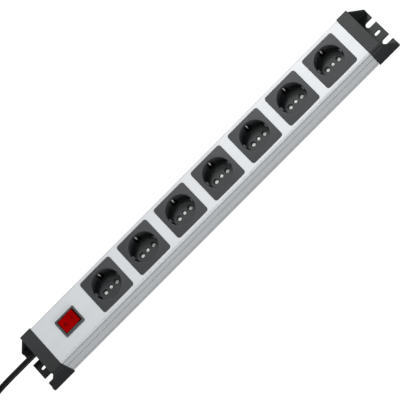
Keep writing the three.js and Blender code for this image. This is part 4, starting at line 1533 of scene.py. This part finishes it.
@dataclass
class Switch:
    """The switch: frame, lit rocker with its marks, and the contacts under it."""

    x: float = -228.0
    top: float = 47.5
    axis_z: float = 46.0
    tilt: float = 8.0
    reach: float = 12.9
    half_width: float = 9.6
    end_height: float = 4.9
    middle_height: float = 3.5
    skirt: float = 4.5
    bezel: Pair = (32.0, 25.6)
    bezel_top: float = 49.7
    opening: Pair = (26.8, 20.0)
    body: Pair = (29.6, 22.4)
    body_low: float = 25.5
    poles: Pair = (-5.0, 5.0)
    boss: float = 2.8
    plunger_bore: float = 1.8

    def frame_body(self) -> Body:
        """Returns the frame."""
        bezel = Body.plate(self.bezel, self.top + 0.3, self.bezel_top, 1.5, 4)
        bezel.soften(0.7, 3, Body.above(self.bezel_top - 0.01))
        half, deep = (size / 2 for size in self.body)
        body = Body.block((-half, -deep, self.body_low), (half, deep, self.top + 0.8))
        well = Body.plate(self.opening, self.body_low + 2.0, 56.0, 0.5, 2)
        slots = [
            Body.block((x - 0.7, y - 2.7, 24.0), (x + 0.7, y + 2.7, 29.0))
            for x in (0.0, -8.6)
            for y in self.poles
        ]
        made = bezel.joined(body).cut(well, *slots)
        return made.soften(0.3, 2, self.inside_top).moved(self.x)

    def inside_top(self, edge: bmesh.types.BMEdge) -> bool:
        """Tells whether an edge is on the inner rim of the bezel."""
        width, depth = ((size / 2 + 0.01) * MM for size in self.opening)
        near = all(abs(v.co.x) < width and abs(v.co.y) < depth for v in edge.verts)
        return near and Body.above(self.bezel_top - 0.01)(edge)

    def side(self) -> list[Pair]:
        """Returns the rocker's outline from the side, about its hinge."""
        low = -math.asin(self.skirt / self.reach)
        high = math.asin(self.end_height / self.reach)
        right = []
        for step in range(9):
            angle = low + (high - low) * step / 8
            right.append((self.reach * math.cos(angle), self.reach * math.sin(angle)))
        end = right[-1]
        top = []
        for step in range(1, 16):
            share = step / 16
            dip = (self.end_height - self.middle_height) * math.sin(math.pi * share) ** 0.9
            top.append((end[0] * (1 - 2 * share), self.end_height - dip))
        return right + top + [(-x, z) for x, z in reversed(right)]

    def rocker(self) -> Body:
        """Returns the rocker about its hinge."""
        shell = Body.run(self.side(), Axis.ACROSS, -self.half_width, self.half_width)
        shell.soften(0.6, 3)
        hollow = Body.block(
            (3.0 - self.reach, 1.6 - self.half_width, -self.skirt - 1.0),
            (self.reach - 3.0, self.half_width - 1.6, self.middle_height - 1.8),
        )
        bosses = [Body.rod(self.boss, (0.0, y, -3.3), 5.0, sides=24) for y in self.poles]
        bores = [Body.rod(self.plunger_bore, (0.0, y, -5.6), 6.0, sides=24) for y in self.poles]
        return shell.cut(hollow).joined(*bosses).cut(*bores)

    def marks(self) -> Body:
        """Returns the on and off marks that lie on the rocker's two halves."""
        ring = Body.rod(2.1, (-6.0, 0.0, 3.0), 1.45, sides=40)
        ring.cut(Body.rod(1.45, (-6.0, 0.0, 2.0), 4.0, sides=40))
        bar = Body.plate((0.7, 4.2), 3.0, 4.45, 0.3, 3).moved(6.0)
        return ring.added(bar)

    def build(self, builder: Builder) -> None:
        """Makes the switch's pieces and dresses the inner ones."""
        frame = self.frame_body()
        builder.piece("switch_bezel", frame, Finishes.bezel, "switch_frame")
        place = (self.x, 0.0, self.axis_z)
        rocker = self.rocker().rotated(-self.tilt, Axis.ACROSS).moved(*place)
        builder.piece(
            "rocker_button", rocker, Finishes.lens, "switch_rocker", "rocker"
        )
        marks = self.marks().rotated(-self.tilt, Axis.ACROSS).moved(*place)
        builder.piece("rocker_marks", marks, Finishes.mark, rides="rocker")
        builder.dress(Finishes.glass, "switch_lamp")
        builder.dress(Finishes.nickel, "switch_plunger_1", "switch_plunger_2")
        builder.dress(
            Finishes.brass, "switch_seesaw_1", "switch_seesaw_2", "terminal_pivot_1",
            "terminal_pivot_2", "terminal_fixed_1", "terminal_fixed_2",
        )


@dataclass
class CordEntry:
    """The bush in the end wall, and the clamp and wires behind it."""

    wall_x: float = -289.0
    y: float = 15.5
    z: float = 17.0

    def build(self, builder: Builder) -> None:
        """Makes the bush and dresses the rest."""
        profile = [
            (4.05, 4.2), (6.0, 4.2), (6.0, -0.3), (7.4, -0.3), (7.4, -1.6), (7.2, -2.1),
            (6.7, -2.4), (4.6, -2.4), (4.2, -2.25), (4.05, -1.9), (4.05, 4.2),
        ]
        bush = Body.turned(profile, (self.wall_x, self.y, self.z), Axis.ALONG, 48)
        builder.piece("cord_bush", bush, Finishes.bezel, "cord_gland")
        builder.dress(Finishes.carrier, "cord_clamp")
        builder.dress(Finishes.screw, "clamp_screw_1", "clamp_screw_2")
        builder.dress(Finishes.wire_brown, "wire_live_in", "wire_live_out")
        builder.dress(Finishes.wire_blue, "wire_neutral_in", "wire_neutral_out")
        builder.dress(Finishes.wire_green, "wire_earth")


def main() -> None:
    """Builds the whole strip in order."""
    logging.basicConfig(level=logging.INFO, format="%(name)s: %(message)s")
    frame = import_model()
    builder = Builder(frame)
    studio = Studio()
    studio.camera()
    lead = MainsLead()
    cord = lead.build()
    with_cord = [CordTie().build(builder), *Plug().build(builder)]
    studio.floor()
    studio.light()
    nodes = [f"socket_insert_{number}" for number in range(1, 8)]
    places = [sum(corner.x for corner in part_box(node)) / 2 / MM for node in nodes]
    switch_x = sum(corner.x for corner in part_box("switch_frame")) / 2 / MM
    Profile().build(builder, places, switch_x)
    EndCap().build(builder)
    Socket().build(builder, places)
    ContactGear().build(builder, places)
    Switch(x=switch_x).build(builder)
    CordEntry().build(builder)


if __name__ == "__main__":
    main()
